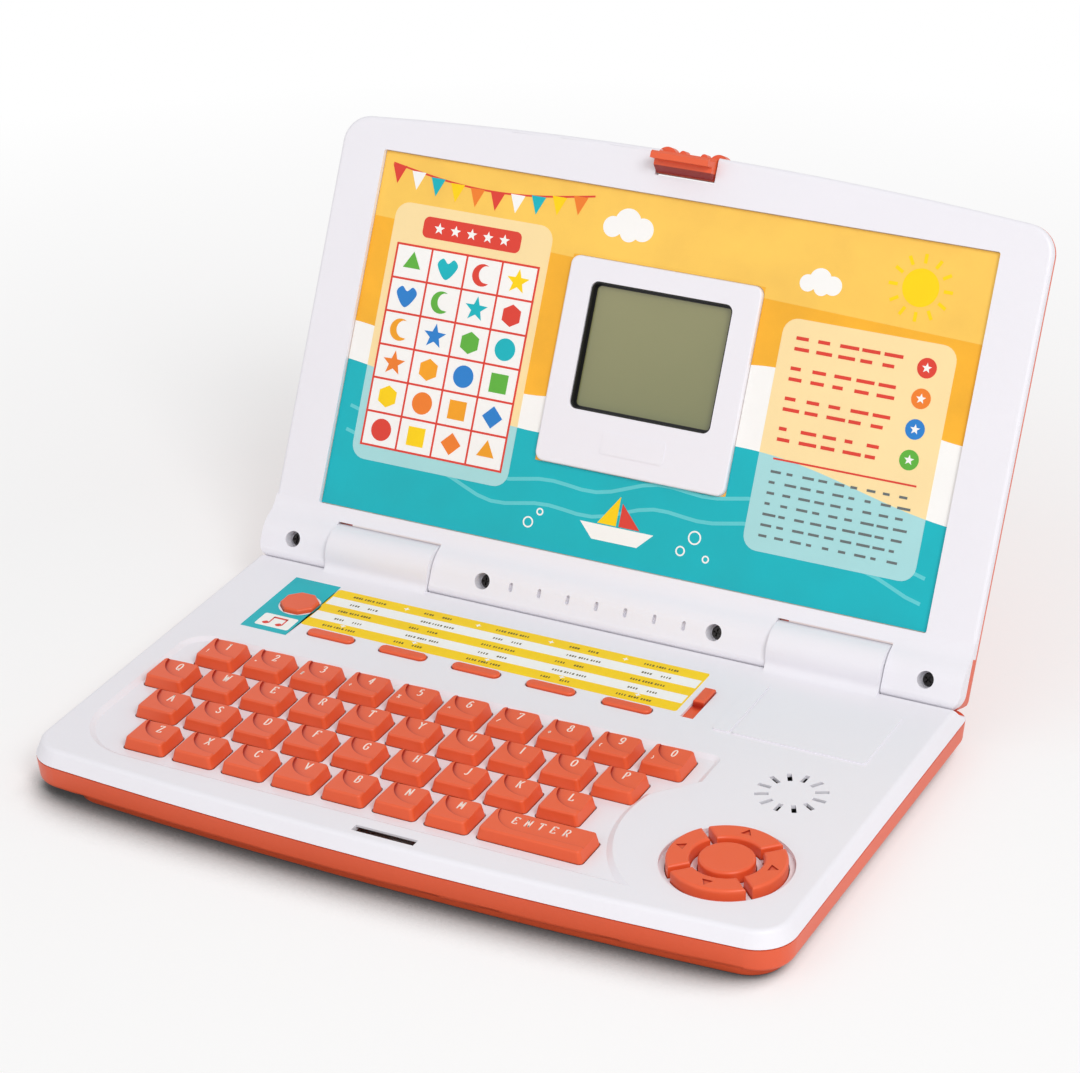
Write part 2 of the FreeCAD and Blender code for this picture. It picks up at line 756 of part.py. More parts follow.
def make_top_shell():
    """The white deck with its key tray, button holes, hinge knuckles and screw posts."""
    outer = round_edges("deck_soft", slab("deck", plan(as_size(0), S.front_corner, S.rear_corner),
                                          (seam, top_face), S.wall_lean), [(level(top_face), S.top_edge)])
    inner_corner, inner_rear = S.front_corner - S.wall_inset, S.rear_corner - S.wall_inset
    hollow = slab("deck_hollow", plan(S.wall_inset, inner_corner, inner_rear), (seam, ceiling))
    rib_x = grown((left, right), -S.wall_inset - S.fit)
    rib_y = (hinge_y - S.trough_radius - S.skin, rear - S.wall_inset - S.fit)
    seat_z = (seam, ceiling)
    additions = [
        slab("tray_floor", tray_outline(), (tray_under, ceiling)),
        rod("pad_floor", pad_x, pad_y, (tray_under, ceiling), S.pad_well + S.skin),
        slab("hinge_rib", rounded(rib_x, rib_y, inner_rear), (seam - S.skin, ceiling)),
        cut("speaker_seat", rod("speaker_wall", speaker_x, speaker_y, seat_z, S.speaker_radius + S.skin),
            [rod("speaker_bore", speaker_x, speaker_y, seat_z, S.speaker_radius + S.fit)]),
    ]
    additions += [rod("deck_post", x, y, seat_z, S.post_radius) for x, y in post_places]
    relief_y = (keys_back + S.relief_setback, keys_back + S.relief_setback + S.relief_depth)
    relief_left = right - S.relief_side - S.relief_width
    strip_right = relief_left - S.relief_gap
    for name, x in (("relief", (relief_left, relief_left + S.relief_width)),
                    ("relief_strip", (strip_right - S.relief_strip, strip_right))):
        additions.append(slab(name, rounded(x, relief_y, S.relief_gap), (ceiling, top_face + S.relief_rise)))
    shell = fuse("deck_whole", [cut("deck_open", outer, [hollow])] + additions)

    play = S.fit
    above = top_face + S.key_height
    holes = [slab("tray_cut", tray_outline(), (tray_floor, top_face + S.fit), -S.tray_flare)]
    for label, x, y, width in key_places():
        outline = rounded(grown(around(x, width), play), grown(around(y, S.key_depth), play),
                          S.key_corner + play)
        holes.append(slab(label + "_hole", outline, (tray_under, above)))
    for number, (x, y) in enumerate(pill_places()):
        outline = rounded(grown(around(x, S.pill_length), play), grown(around(y, S.pill_width), play),
                          S.pill_width * ROUND_END)
        holes.append(slab(f"pill_hole_{number}", outline, (ceiling, above)))
    melody_hole = octagon("melody_hole", S.melody_radius + play, (ceiling, above))
    holes.append(move(melody_hole, melody_x, melody_y, ceiling))
    slider_front, slider_back = slider_knob_y[0] - S.slider_travel, slider_knob_y[1]
    holes.append(box("slider_hole", grown(around(slider_x, S.slider_width), play),
                     grown((slider_front, slider_back), play), (ceiling, above)))
    track_y = (slider_front - S.slider_travel - S.key_lip, slider_back + S.slider_travel)
    holes.append(box("slider_track", grown(around(slider_x, S.slider_width * 2), play), grown(track_y, play),
                     (ceiling, top_face - S.slider_skin)))
    holes.append(rod("pad_well", pad_x, pad_y, (top_face - S.pad_sink, above), S.pad_well))
    holes.append(rod("centre_hole", pad_x, pad_y, (tray_under, above), S.pad_middle + play))
    for number, direction in enumerate(DIRECTIONS):
        hole = quarter(direction + "_hole", S.pad_inner - play, S.pad_outer + play, S.pad_gap - play * 2,
                       (tray_under, above))
        holes.append(move(turn(hole, (0, 0, 1), 90 * number), pad_x, pad_y, 0))
    for number in range(GRILLE_SLOTS):
        angle = GRILLE_TURN + 360 / GRILLE_SLOTS * number
        cos, sin = math.cos(math.radians(angle)), math.sin(math.radians(angle))
        slot = turn(doc.addObject("Part::Box", f"grille_{number}"), (0, 0, 1), angle)
        bind(slot, {"Length": S.grille_length, "Width": S.grille_slot, "Height": above - ceiling})
        holes.append(move(slot, speaker_x + S.grille_inner * cos + S.grille_slot / 2 * sin,
                          speaker_y + S.grille_inner * sin - S.grille_slot / 2 * cos, ceiling))
    holes.append(rod("grille_recess", speaker_x, speaker_y, (ceiling, top_face - S.grille_skin),
                     S.grille_inner + S.grille_length + S.grille_slot))
    slot_x, slot_y = around(0, S.slot_width), hinge_y - lid_top + S.slot_edge
    slot_back = slot_y + S.slot_depth
    holes.append(box("catch_slot", slot_x, (slot_y, slot_back), (ceiling, above)))
    holes.append(box("catch_relief", slot_x, (slot_y, slot_back + S.slot_relief),
                     (ceiling, top_face - S.slot_lip)))
    for number, zone in enumerate(barrel_zones()):
        holes.append(rod_across(f"trough_{number}", zone, hinge_y, hinge_z, S.trough_radius))
        holes.append(box(f"trough_back_{number}", zone, (rib_y[1], rear + 1), (seam, hinge_z)))
    holes += [rod("deck_pilot", x, y, (seam - 1, ceiling - S.fit), S.post_hole) for x, y in post_places]
    knuckles = make_knuckle(-1) + make_knuckle(1)
    keep("base_top_shell", fuse("base_top_shell", [cut("deck_cut", shell, holes)] + knuckles))


def make_bottom_shell():
    """The orange tub: a rim that draws in, a lower belly, the battery bay and the board's standoffs."""
    corner, rear_corner = S.front_corner, S.rear_corner
    rim_top = seam - S.seam_gap
    rim_outline = flipped_up(plan(as_size(0), corner, rear_corner))
    rim = turn(slab("rim", rim_outline, (-rim_top, -S.belly_drop), S.rim_lean), (1, 0, 0), 180)
    step = S.seam_depth
    land = slab("land", plan(step, corner - step, rear_corner - step), (rim_top, seam))
    belly = turn(slab("belly", flipped_up(belly_plan(as_size(0))), (-S.belly_drop * 2, 0), S.belly_lean),
                 (1, 0, 0), 180)
    soft_belly = round_edges("belly_soft", belly, [(level(as_size(0)), S.belly_edge)])
    shell = round_edges("tub_soft", rim, [(level(S.belly_drop), S.top_edge)])
    inset = S.wall_inset
    inner = slab("tub_hollow", plan(inset, corner - inset, rear_corner - inset),
                 (S.belly_drop + S.skin, seam + 1))
    deep = slab("tub_deep", belly_plan(inset), (floor, S.belly_drop + S.skin))
    tub = cut("tub_open", fuse("tub_whole", [shell, land, soft_belly]), [inner, deep])
    wall_x, wall_y = grown(bay_x, S.bay_wall), grown(bay_y, S.bay_wall)
    bay = box("bay_walls", wall_x, wall_y, (floor, bay_roof))
    posts = [rod("tub_post", x, y, (post_foot(x), seam), S.post_radius) for x, y in post_places]
    stands = [rod("board_stand", x, y, (floor, board_low), S.standoff_radius) for x, y in standoff_places()]
    holes = [
        box("bay_hollow", bay_x, bay_y, (-1, bay_roof - S.bay_wall)),
        box("door_seat", wall_x, wall_y, (-1, S.door_sink + S.door_thick)),
    ]
    holes += [rod("post_bore", x, y, (0, seam + 1), S.post_hole) for x, y in post_places]
    holes += [rod("post_head", x, y, (0, seam - S.post_head * 2), S.post_head) for x, y in post_places]
    keep("base_bottom_shell", cut("base_bottom_shell", fuse("tub_full", [tub, bay] + posts + stands), holes))


def make_battery_door():
    """The door in the underside, set in a little and held by the bay's edge."""
    edge = S.bay_wall - S.fit
    keep("battery_door", box("battery_door", grown(bay_x, edge), grown(bay_y, edge),
                             (S.door_sink, S.door_sink + S.door_thick)))


# Electronics

board_x = (left + S.board_left, right - S.board_right)
board_y = (front + S.board_front, pad_y + S.pad_well, speaker_y + S.speaker_radius)
board_back = bay_y[1] - S.board_back
board_notch = speaker_x - S.speaker_radius - S.skin * 2


def board_outline(notch_right, back_right):
    """The board's outline, which leaves room for the speaker and the battery bay."""
    return [
        (board_x[0], board_y[0]), (board_x[1], board_y[0]), (board_x[1], board_y[1]),
        (notch_right, board_y[1]), (notch_right, board_y[2]), (back_right, board_y[2]),
        (back_right, board_back), (board_x[0], board_back),
    ]


def standoff_places():
    """The standoffs under the board, near its corners and along its middle."""
    inset = S.standoff_radius * 2
    lows, backs = board_y[0] + inset, board_back - inset
    columns = (board_x[0] + inset, as_size(0), slider_x - inset)
    places = [(x, y) for x in columns for y in (lows, keys_back, backs)]
    return places + [(board_x[1] - inset, lows), (board_x[1] - inset, board_y[1] - inset)]


def make_board():
    """The circuit board with the block of the power switch."""
    back_right = slider_x + S.slider_width
    block_x = (slider_x - S.slider_width, back_right)
    block_y = (slider_knob_y[0] - S.slider_travel, slider_knob_y[1])
    plate = slab("board_plate", board_outline(board_notch, back_right), (board_low, board_top))
    block = box("switch_block", block_x, block_y, (board_top, slider_plate_low))
    keep("circuit_board", fuse("circuit_board", [plate, block]))


def make_membrane():
    """The rubber sheet with a dome under each key and button."""
    back_right = slider_x - S.slider_width - S.skin
    sheet_plate = slab("membrane_sheet", board_outline(board_notch, back_right), (board_top, sheet_top))
    places = [(x, y) for label, x, y, width in key_places()] + pill_places() + arrow_places()
    places += [(melody_x, melody_y), (pad_x, pad_y)]
    domes = [cone("dome", x, y, (sheet_top, foot), S.dome_radius, S.dome_top) for x, y in places]
    keep("key_membrane", fuse("key_membrane", [sheet_plate] + domes))


def make_speaker():
    """The speaker, its rim against the deck and its magnet below."""
    x, y, rim = speaker_x, speaker_y, S.speaker_radius
    low = ceiling - S.speaker_height
    step = S.speaker_height / 3
    basket = fuse("speaker_basket", [
        rod("speaker_rim", x, y, (ceiling - S.skin, ceiling), rim),
        cone("speaker_bell", x, y, (low + step, ceiling - S.skin), rim / 2, rim - S.skin),
        rod("speaker_magnet", x, y, (low, low + step), rim / 2),
    ])
    paper = cone("speaker_paper", x, y, (ceiling - step, ceiling), rim / 3, rim - S.skin)
    keep("speaker", cut("speaker", basket, [paper]))


# Lid, drawn flat

def stand(item):
    """Place a lid piece on the hinge at the open angle."""
    turn(item, (1, 0, 0), 90)
    bind(item, {"Placement.Rotation.Angle": 90 - S.lid_tilt})
    return move(item, 0, hinge_y, hinge_z)


lip_low = S.knuckle_radius + S.fit * 2
panel_x = (-lid_half + S.bezel_side, lid_half - S.bezel_side)
panel_y = (S.chin_height, lid_top - S.bezel_top)
panel_floor = S.lid_face - S.panel_depth
frame_x = around(0, S.frame_width)
frame_y = (S.chin_height + S.frame_low, S.chin_height + S.frame_low + S.frame_height)
frame_top = S.lid_face + S.frame_rise
window_x = around(0, S.window_width)
window_y = (S.chin_height + S.window_low, S.chin_height + S.window_low + S.window_height)
pivot_y, pivot_z = lid_top - S.catch_pivot, -S.lid_part
notch_low = pivot_y - S.catch_foot - S.catch_play * 2


def lid_plan(inset):
    """The lid's plan above the hinge, drawn in from its outer edge."""
    return crowned(lid_half - inset, lip_low, lid_top - inset, S.lid_crown, S.lid_corner - inset, None)


def lid_barrel(name, profile):
    """The lid's hinge barrel: a profile in three stretches of X, with its two outer corners rounded."""
    inner, outer = S.knuckle_start - S.fit, knuckle_end + S.fit
    zones = ((-lid_half, -outer), (-inner, inner), (outer, lid_half))
    bars = [slab(f"{name}_{number}", profile, zone, plane="YZ_Plane") for number, zone in enumerate(zones)]
    low, corner = -S.barrel_radius, S.chin_corner
    outline = [
        (-lid_half, low + corner, corner), (-lid_half + corner, low), (lid_half - corner, low, corner),
        (lid_half, low + corner), (lid_half, S.chin_height), (-lid_half, S.chin_height),
    ]
    around_plan = slab(name + "_plan", outline, (-S.lid_back, S.barrel_radius))
    return common(name, fuse(name + "_bars", bars), around_plan)


def lid_holes(name, low, high):
    """Hinge sockets, the catch's notch sockets and the chin's screw bores for one of the lid's shells."""
    socket = S.pin_radius + S.running_fit
    length = S.pin_length + S.fit
    holes = []
    for end, way in ((S.knuckle_start, -1), (knuckle_end, 1)):
        span = (end - length, end) if way < 0 else (end, end + length)
        holes.append(rod_across(name + "_socket", span, 0, 0, socket))
        holes.append(rod_across(name + "_socket", (-span[1], -span[0]), 0, 0, socket))
    pin_end = S.catch_grip_width / 2 + S.catch_pin_length + S.fit
    holes.append(rod_across(name + "_catch_socket", (-pin_end, pin_end), pivot_y, pivot_z,
                            S.catch_pin + S.running_fit))
    for side in (-1, 1):
        for x in (S.chin_hole_inner, lid_half - S.chin_hole_edge):
            holes.append(rod(name + "_bore", x * side, 0, (low, high), S.post_hole))
    return holes


def make_lid_front():
    """The white screen shell: bezel, sunk panel, display frame and the front half of the hinge barrel."""
    part = -S.lid_part
    plate = round_edges("bezel_soft", slab("bezel", lid_plan(as_size(0)), (part, S.lid_face)),
                        [(lambda b: level(S.lid_face)(b) and b.YMax > lip_low.value + 1, S.lid_edge)])
    rise, height, reach = S.chin_reach - S.lid_face, S.chin_height, S.chin_reach
    sweep = (height * height + rise * rise) / (rise * 4)
    lip_rise = S.lid_face + sweep - root(sweep * sweep - (height - lip_low) * (height - lip_low))
    lip = slab("chin_lip", [
        (height, part), (height, S.lid_face, -sweep), (lip_low, lip_rise), (lip_low, part),
    ], (-lid_half, lid_half), plane="YZ_Plane")
    barrel, cheek = S.barrel_radius, reach - S.chin_round
    chin = lid_barrel("chin", [
        (height, part), (height, S.lid_face, -sweep),
        (height / 2, S.lid_face + rise / 2, sweep), (as_size(0), reach),
        (S.chin_round - root(barrel * barrel - reach * reach), reach, S.chin_round * 1.5),
        (-root(barrel * barrel - cheek * cheek), cheek, barrel), (-barrel, as_size(0)),
        (lip_low, as_size(0)), (lip_low, part),
    ])
    shell = fuse("lid_front_whole", [plate, lip, chin])
    sunk = slab("panel_cut", rounded(panel_x, panel_y, S.card_thick * 2), (panel_floor, S.chin_reach))
    frame = round_edges("frame_soft", slab("display_frame", rounded(frame_x, frame_y, S.frame_corner),
                                           (part, frame_top)), [(level(frame_top), S.key_edge)])
    badge_y = (S.chin_height + S.badge_low, S.chin_height + S.badge_low + S.badge_height)
    badge = slab("badge", rounded(around(0, S.badge_width), badge_y, S.window_corner / 3),
                 (part, frame_top + S.badge_rise))
    framed = fuse("lid_framed", [cut("lid_sunk", shell, [sunk]), frame, badge])
    half = S.catch_width / 2 + S.catch_play
    tops = (panel_floor - S.lid_part, S.chin_reach + 1)
    holes = [
        slab("window", rounded(window_x, window_y, S.window_corner), tops),
        box("catch_notch_front", (-half, half), (notch_low, lid_top + 1), tops),
    ]
    for side in (-1, 1):
        for x in (S.chin_hole_inner, lid_half - S.chin_hole_edge):
            holes.append(rod("chin_hole", x * side, 0, (S.chin_reach - S.chin_hole_depth, S.chin_reach + 1),
                             S.chin_hole))
    for number in range(VENT_COUNT):
        x = S.vent_pitch * (number - (VENT_COUNT - 1) / 2)
        outline = rounded(around(x, S.vent_width), around(0, S.vent_height), S.vent_width * ROUND_END)
        holes.append(slab(f"vent_{number}", outline, (S.chin_reach - S.vent_depth, S.chin_reach + 1)))
    holes += lid_holes("front", as_size(0) - 1, S.chin_reach)
    stand(keep("lid_front_shell", cut("lid_front_shell", framed, holes)))


def make_lid_rear():
    """The orange rear cover of the lid with the back half of the hinge barrel."""
    part, back = -S.lid_part, -S.lid_back
    plate = round_edges("cover_soft", slab("cover", lid_plan(as_size(0)), (back, part)),
                        [(lambda b: level(back)(b) and b.YMax > lip_low.value + 1, S.lid_back_edge)])
    hollow_y = S.chin_height
    wall = S.lid_wall
    hollow = slab("cover_hollow", crowned(lid_half - wall, hollow_y, lid_top - wall, S.lid_crown,
                                          S.lid_corner - wall, None), (back + S.lid_skin, part))
    half = S.catch_grip_width / 2 + S.catch_play
    seat_half = half + S.catch_pin_length + S.lid_wall
    block = box("catch_block", (-seat_half, seat_half), (notch_low - S.lid_skin, lid_top + 1), (back, part))
    seat = common("catch_seat", block, plate)
    barrel = lid_barrel("barrel", [
        (lip_low, as_size(0)), (-S.barrel_radius, as_size(0), S.barrel_radius), (as_size(0), back),
        (S.chin_height, back), (S.chin_height, part), (lip_low, part),
    ])
    edge = S.lid_back_edge
    ends = slab("barrel_ends", [
        (-lid_half, back + edge, edge), (-lid_half + edge, back), (lid_half - edge, back, edge),
        (lid_half, back + edge), (lid_half, S.barrel_radius), (-lid_half, S.barrel_radius),
    ], (-S.chin_height, S.barrel_radius), plane="XZ_Plane")
    soft_barrel = common("barrel_soft", barrel, ends)
    shell = fuse("lid_rear_whole", [cut("cover_open", plate, [hollow]), seat, soft_barrel])
    holes = [box("catch_notch_rear", (-half, half), (notch_low, lid_top + 1), (back - 1, part + 1))]
    holes += lid_holes("rear", back + S.lid_skin, as_size(1))
    stand(keep("lid_rear_shell", cut("lid_rear_shell", shell, holes)))


def make_screen():
    """The printed card in the lid's panel and the display behind its window."""
    play = S.fit / 2
    card = slab("card_plate", rounded(grown(panel_x, -play), grown(panel_y, -play), S.card_thick * 2),
                (panel_floor, panel_floor + S.card_thick))
    opening = slab("card_opening", rounded(grown(frame_x, play), grown(frame_y, play), S.frame_corner),
                   (panel_floor - 1, S.lid_face))
    stand(keep("screen_card", cut("screen_card", card, [opening])))
    margin, low = S.display_margin, -S.lid_part - S.display_thick
    display = box("display", grown(window_x, margin), grown(window_y, margin), (low, -S.lid_part))
    glass = slab("display_glass", rounded(grown(window_x, -play), grown(window_y, -play), S.window_corner),
                 (low, -S.lid_part + play))
    stand(keep("lcd_panel", fuse("lcd_panel", [display, glass])))


def make_latch():
    """The rocking catch: a hook that drops into the deck's slot, and a ridged thumb grip behind it."""
    tip = S.lid_face + S.catch_reach
    catch_z = S.hinge_rise + S.skin + S.fit / 2
    neck = lid_top - S.slot_edge - S.fit
    inner, brow = neck - S.catch_neck, S.hinge_rise - S.fit
    low, high = pivot_y - S.catch_foot, lid_top - S.lid_face
    back = pivot_z - S.catch_back
    hook = slab("catch_hook", [
        (low, back), (high, back), (high, S.lid_face + S.catch_play), (neck + S.fit / 2, S.hinge_rise / 2),
        (neck, catch_z), (neck + S.catch_barb, catch_z), (neck + S.catch_barb, catch_z + S.catch_barb),
        (neck, tip), (inner, tip), (inner, brow), (inner - S.catch_neck, brow),
        (low + S.fit, S.lid_face + S.catch_play), (low, S.lid_face - S.catch_play),
    ][::-1], around(0, S.catch_width), plane="YZ_Plane")
    half = S.catch_grip_width / 2
    grip_z = (back, pivot_z - S.catch_play * 2)
    grip = box("catch_grip", (-half, half), (low, high), grip_z)
    bumps = []
    for side in (-1, 1):
        bumps.append(rod("grip_bump", S.grip_bump_x * side, high - S.grip_bump / 2, grip_z, S.grip_bump))
        bumps.append(rod("grip_bead", S.grip_bead_x * side, high, grip_z, S.grip_bead))
    pin_x = grown((-half, half), S.catch_pin_length)
    pins = rod_across("catch_pins", pin_x, pivot_y, pivot_z, S.catch_pin)
    stand(keep("latch", fuse("latch", [hook, grip, pins] + bumps)))


# The whole model

make_top_shell()
make_bottom_shell()
make_board()
make_membrane()
make_speaker()
make_battery_door()
for key in key_places():
    make_key(*key)
for number, place in enumerate(pill_places(), start=1):
    make_pill(f"function_button_{number}", *place)
make_melody_button()
make_power_slider()
for number, direction in enumerate(DIRECTIONS):
    make_arrow(f"{direction}_button", number)
make_centre_button()
make_lid_front()
make_lid_rear()
make_screen()
make_latch()

doc.recompute()
failed = [item.Label for item in doc.Objects if {"Invalid", "Error"} & set(item.State)]
failed += [item.Label for item in NODES if item.Shape.isNull() or not item.Shape.isValid()]
if failed:
    raise RuntimeError("these pieces did not build: " + ", ".join(failed))

os.makedirs("parts", exist_ok=True)
for item in NODES:
    item.Shape.exportStep(f"parts/{item.Label}.step")
print(len(NODES), "pieces")
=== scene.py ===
import json
import math

import bpy
import bmesh
from mathutils import Matrix, Vector


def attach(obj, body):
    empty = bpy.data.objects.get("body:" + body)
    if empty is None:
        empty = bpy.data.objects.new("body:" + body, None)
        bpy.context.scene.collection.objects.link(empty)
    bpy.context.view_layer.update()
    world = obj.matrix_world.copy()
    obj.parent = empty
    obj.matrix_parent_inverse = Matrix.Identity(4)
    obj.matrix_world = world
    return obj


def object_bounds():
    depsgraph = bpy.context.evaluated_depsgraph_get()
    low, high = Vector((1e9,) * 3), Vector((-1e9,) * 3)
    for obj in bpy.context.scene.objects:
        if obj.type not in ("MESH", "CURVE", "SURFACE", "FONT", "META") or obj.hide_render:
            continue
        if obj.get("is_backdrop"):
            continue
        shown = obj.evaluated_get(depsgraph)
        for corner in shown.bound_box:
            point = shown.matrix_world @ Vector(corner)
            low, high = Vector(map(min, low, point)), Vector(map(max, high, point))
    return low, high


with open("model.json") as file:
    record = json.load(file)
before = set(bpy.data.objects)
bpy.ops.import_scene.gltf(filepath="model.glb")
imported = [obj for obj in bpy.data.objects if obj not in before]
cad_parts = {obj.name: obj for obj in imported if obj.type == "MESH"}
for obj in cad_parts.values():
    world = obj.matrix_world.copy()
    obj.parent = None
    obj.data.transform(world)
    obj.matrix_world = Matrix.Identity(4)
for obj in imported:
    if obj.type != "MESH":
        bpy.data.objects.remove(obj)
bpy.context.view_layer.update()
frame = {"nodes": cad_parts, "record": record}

# Sizes are in millimetres and are turned to metres by the matrices DECK and LID.
MM = 0.001
DECK_TOP = 15.5
HINGE_Y, HINGE_Z = 74.3, 19.7
LID_TILT = 26.8
DECK = Matrix.Scale(MM, 4)
LID = DECK @ Matrix.Translation((0, HINGE_Y, HINGE_Z)) @ Matrix.Rotation(math.radians(90 - LID_TILT), 4, "X")


# Colours and shader groups

def srgb(red, green, blue):
    """A colour of a screen, 0 to 255, as the linear colour that a shader takes."""
    values = []
    for part in (red, green, blue):
        part /= 255
        values.append(part / 12.92 if part <= 0.04045 else ((part + 0.055) / 1.055) ** 2.4)
    return (*values, 1.0)


def shaded(colour, factor):
    """A colour made lighter or darker."""
    return (*[min(1.0, c * factor) for c in colour[:3]], 1.0)


def shader_group(name, inputs, outputs):
    """An empty shader group with its sockets, and the nodes at its two ends."""
    tree = bpy.data.node_groups.new(name, "ShaderNodeTree")
    for label, kind, value in inputs:
        socket = tree.interface.new_socket(label, in_out="INPUT", socket_type=kind)
        if value is not None:
            socket.default_value = value
    for label, kind in outputs:
        tree.interface.new_socket(label, in_out="OUTPUT", socket_type=kind)
    return tree, tree.nodes.new("NodeGroupInput"), tree.nodes.new("NodeGroupOutput")


def noise(tree, vector, scale, detail=2.0, roughness=0.5):
    """A noise texture; its scale is a number or a socket."""
    node = tree.nodes.new("ShaderNodeTexNoise")
    node.inputs["Detail"].default_value = detail
    node.inputs["Roughness"].default_value = roughness
    if isinstance(scale, (int, float)):
        node.inputs["Scale"].default_value = scale
    else:
        tree.links.new(scale, node.inputs["Scale"])
    tree.links.new(vector, node.inputs["Vector"])
    return node.outputs["Fac"]


def spread(tree, value, low, high, from_low=0.0, from_high=1.0):
    """A value mapped to new limits."""
    node = tree.nodes.new("ShaderNodeMapRange")
    limits = {"From Min": from_low, "From Max": from_high, "To Min": low, "To Max": high}
    for label, number in limits.items():
        node.inputs[label].default_value = number
    tree.links.new(value, node.inputs["Value"])
    return node.outputs["Result"]


def mixed(tree, factor, first, second):
    """Two colours mixed by a factor; each is a colour or a socket."""
    node = tree.nodes.new("ShaderNodeMix")
    node.data_type = "RGBA"
    tree.links.new(factor, node.inputs["Factor"])
    for label, colour in (("A", first), ("B", second)):
        socket = [s for s in node.inputs if s.name == label and s.type == "RGBA"][0]
        if isinstance(colour, tuple):
            socket.default_value = colour
        else:
            tree.links.new(colour, socket)
    return [s for s in node.outputs if s.type == "RGBA"][0]


def calculated(tree, operation, first, second):
    """Two values put together; each is a number or a socket."""
    node = tree.nodes.new("ShaderNodeMath")
    node.operation = operation
    for socket, value in zip(node.inputs, (first, second)):
        if isinstance(value, (int, float)):
            socket.default_value = value
        else:
            tree.links.new(value, socket)
    return node.outputs[0]


def moulded_grain_group():
    """Spark-eroded mould grain, slow drift of the colour, and faint rubbing marks."""
    tree, start, end = shader_group(
        "moulded_grain",
        [("Vector", "NodeSocketVector", None), ("Grain Scale", "NodeSocketFloat", 2600.0),
         ("Drift Scale", "NodeSocketFloat", 14.0)],
        [("Grain", "NodeSocketFloat"), ("Drift", "NodeSocketFloat"), ("Rubbing", "NodeSocketFloat")])
    vector = start.outputs["Vector"]
    tree.links.new(noise(tree, vector, start.outputs["Grain Scale"], 3.0, 0.6), end.inputs["Grain"])
    drift = noise(tree, vector, start.outputs["Drift Scale"], 3.0)
    tree.links.new(spread(tree, drift, 0.0, 1.0, 0.3, 0.7), end.inputs["Drift"])
    stretch = tree.nodes.new("ShaderNodeMapping")
    stretch.inputs["Scale"].default_value = (40.0, 420.0, 120.0)
    stretch.inputs["Rotation"].default_value = (0.0, 0.0, 0.5)
    tree.links.new(vector, stretch.inputs["Vector"])
    marks = noise(tree, stretch.outputs["Vector"], 1.0, 4.0, 0.65)
    tree.links.new(spread(tree, marks, 0.0, 1.0, 0.58, 0.78), end.inputs["Rubbing"])
    return tree


def printed_ink_group():
    """Ink on paper: a fine screen of dots and a cloudy lay of the ink."""
    tree, start, end = shader_group(
        "printed_ink",
        [("Vector", "NodeSocketVector", None), ("Dot Scale", "NodeSocketFloat", 2400.0)],
        [("Dots", "NodeSocketFloat"), ("Cloud", "NodeSocketFloat")])
    vector = start.outputs["Vector"]
    dots = tree.nodes.new("ShaderNodeTexVoronoi")
    tree.links.new(start.outputs["Dot Scale"], dots.inputs["Scale"])
    tree.links.new(vector, dots.inputs["Vector"])
    tree.links.new(spread(tree, dots.outputs["Distance"], 0.0, 1.0, 0.1, 0.7), end.inputs["Dots"])
    tree.links.new(spread(tree, noise(tree, vector, 60.0, 4.0), 0.0, 1.0, 0.3, 0.7), end.inputs["Cloud"])
    return tree


GRAIN = moulded_grain_group()
INK = printed_ink_group()


def new_material(name):
    """A material with its shader, and its object coordinates."""
    material = bpy.data.materials.new(name)
    material.use_nodes = True
    tree = material.node_tree
    shader = tree.nodes["Principled BSDF"]
    place = tree.nodes.new("ShaderNodeTexCoord").outputs["Object"]
    return material, tree, shader, place


def place_group(tree, group, vector, values):
    """A shader group in a material, with its own values."""
    node = tree.nodes.new("ShaderNodeGroup")
    node.node_tree = group
    tree.links.new(vector, node.inputs["Vector"])
    for label, value in values.items():
        node.inputs[label].default_value = value
    return node.outputs


def bumped(tree, shader, height, strength, distance):
    """A bump from a height."""
    node = tree.nodes.new("ShaderNodeBump")
    node.inputs["Strength"].default_value = strength
    node.inputs["Distance"].default_value = distance
    tree.links.new(height, node.inputs["Height"])
    tree.links.new(node.outputs["Normal"], shader.inputs["Normal"])


# Lengths in the materials are in metres.
# Painted shade: a crease is painted dark where less of the surroundings within its reach is open.
CREASE_REACH, CREASE_CLOSED, CREASE_OPEN = 0.003, 0.7, 0.98
# Where the painted shade on the slope under the hook fades out: along the lid from its hinge, and in front
# of the lid
HOOK_UNDERSIDE, HOOK_FRONT = (0.1413, 0.1416), (0.0002, 0.0006)
GLOSS_SWING, INK_GLOSS_SWING = 0.06, 0.05
GRAIN_DEPTH, DOT_DEPTH, STEEL_DEPTH, TRACK_DEPTH = 0.00008, 0.00003, 0.00004, 0.00005
# Where the painted light on the display film changes: across and up.
DISPLAY_X, DISPLAY_Z = (-0.026, 0.026), (0.072, 0.112)


def painted_crease_shade(tree, _place, colour):
    """A key's colour with painted shade, turned deep in the crease round its dish."""
    node = tree.nodes.new("ShaderNodeAmbientOcclusion")
    node.only_local = True
    node.inputs["Distance"].default_value = CREASE_REACH
    painted_shade_openness = spread(tree, node.outputs["AO"], 0.0, 1.0, CREASE_CLOSED, CREASE_OPEN)
    return mixed(tree, painted_shade_openness, CREASE_SHADE_ORANGE, colour)


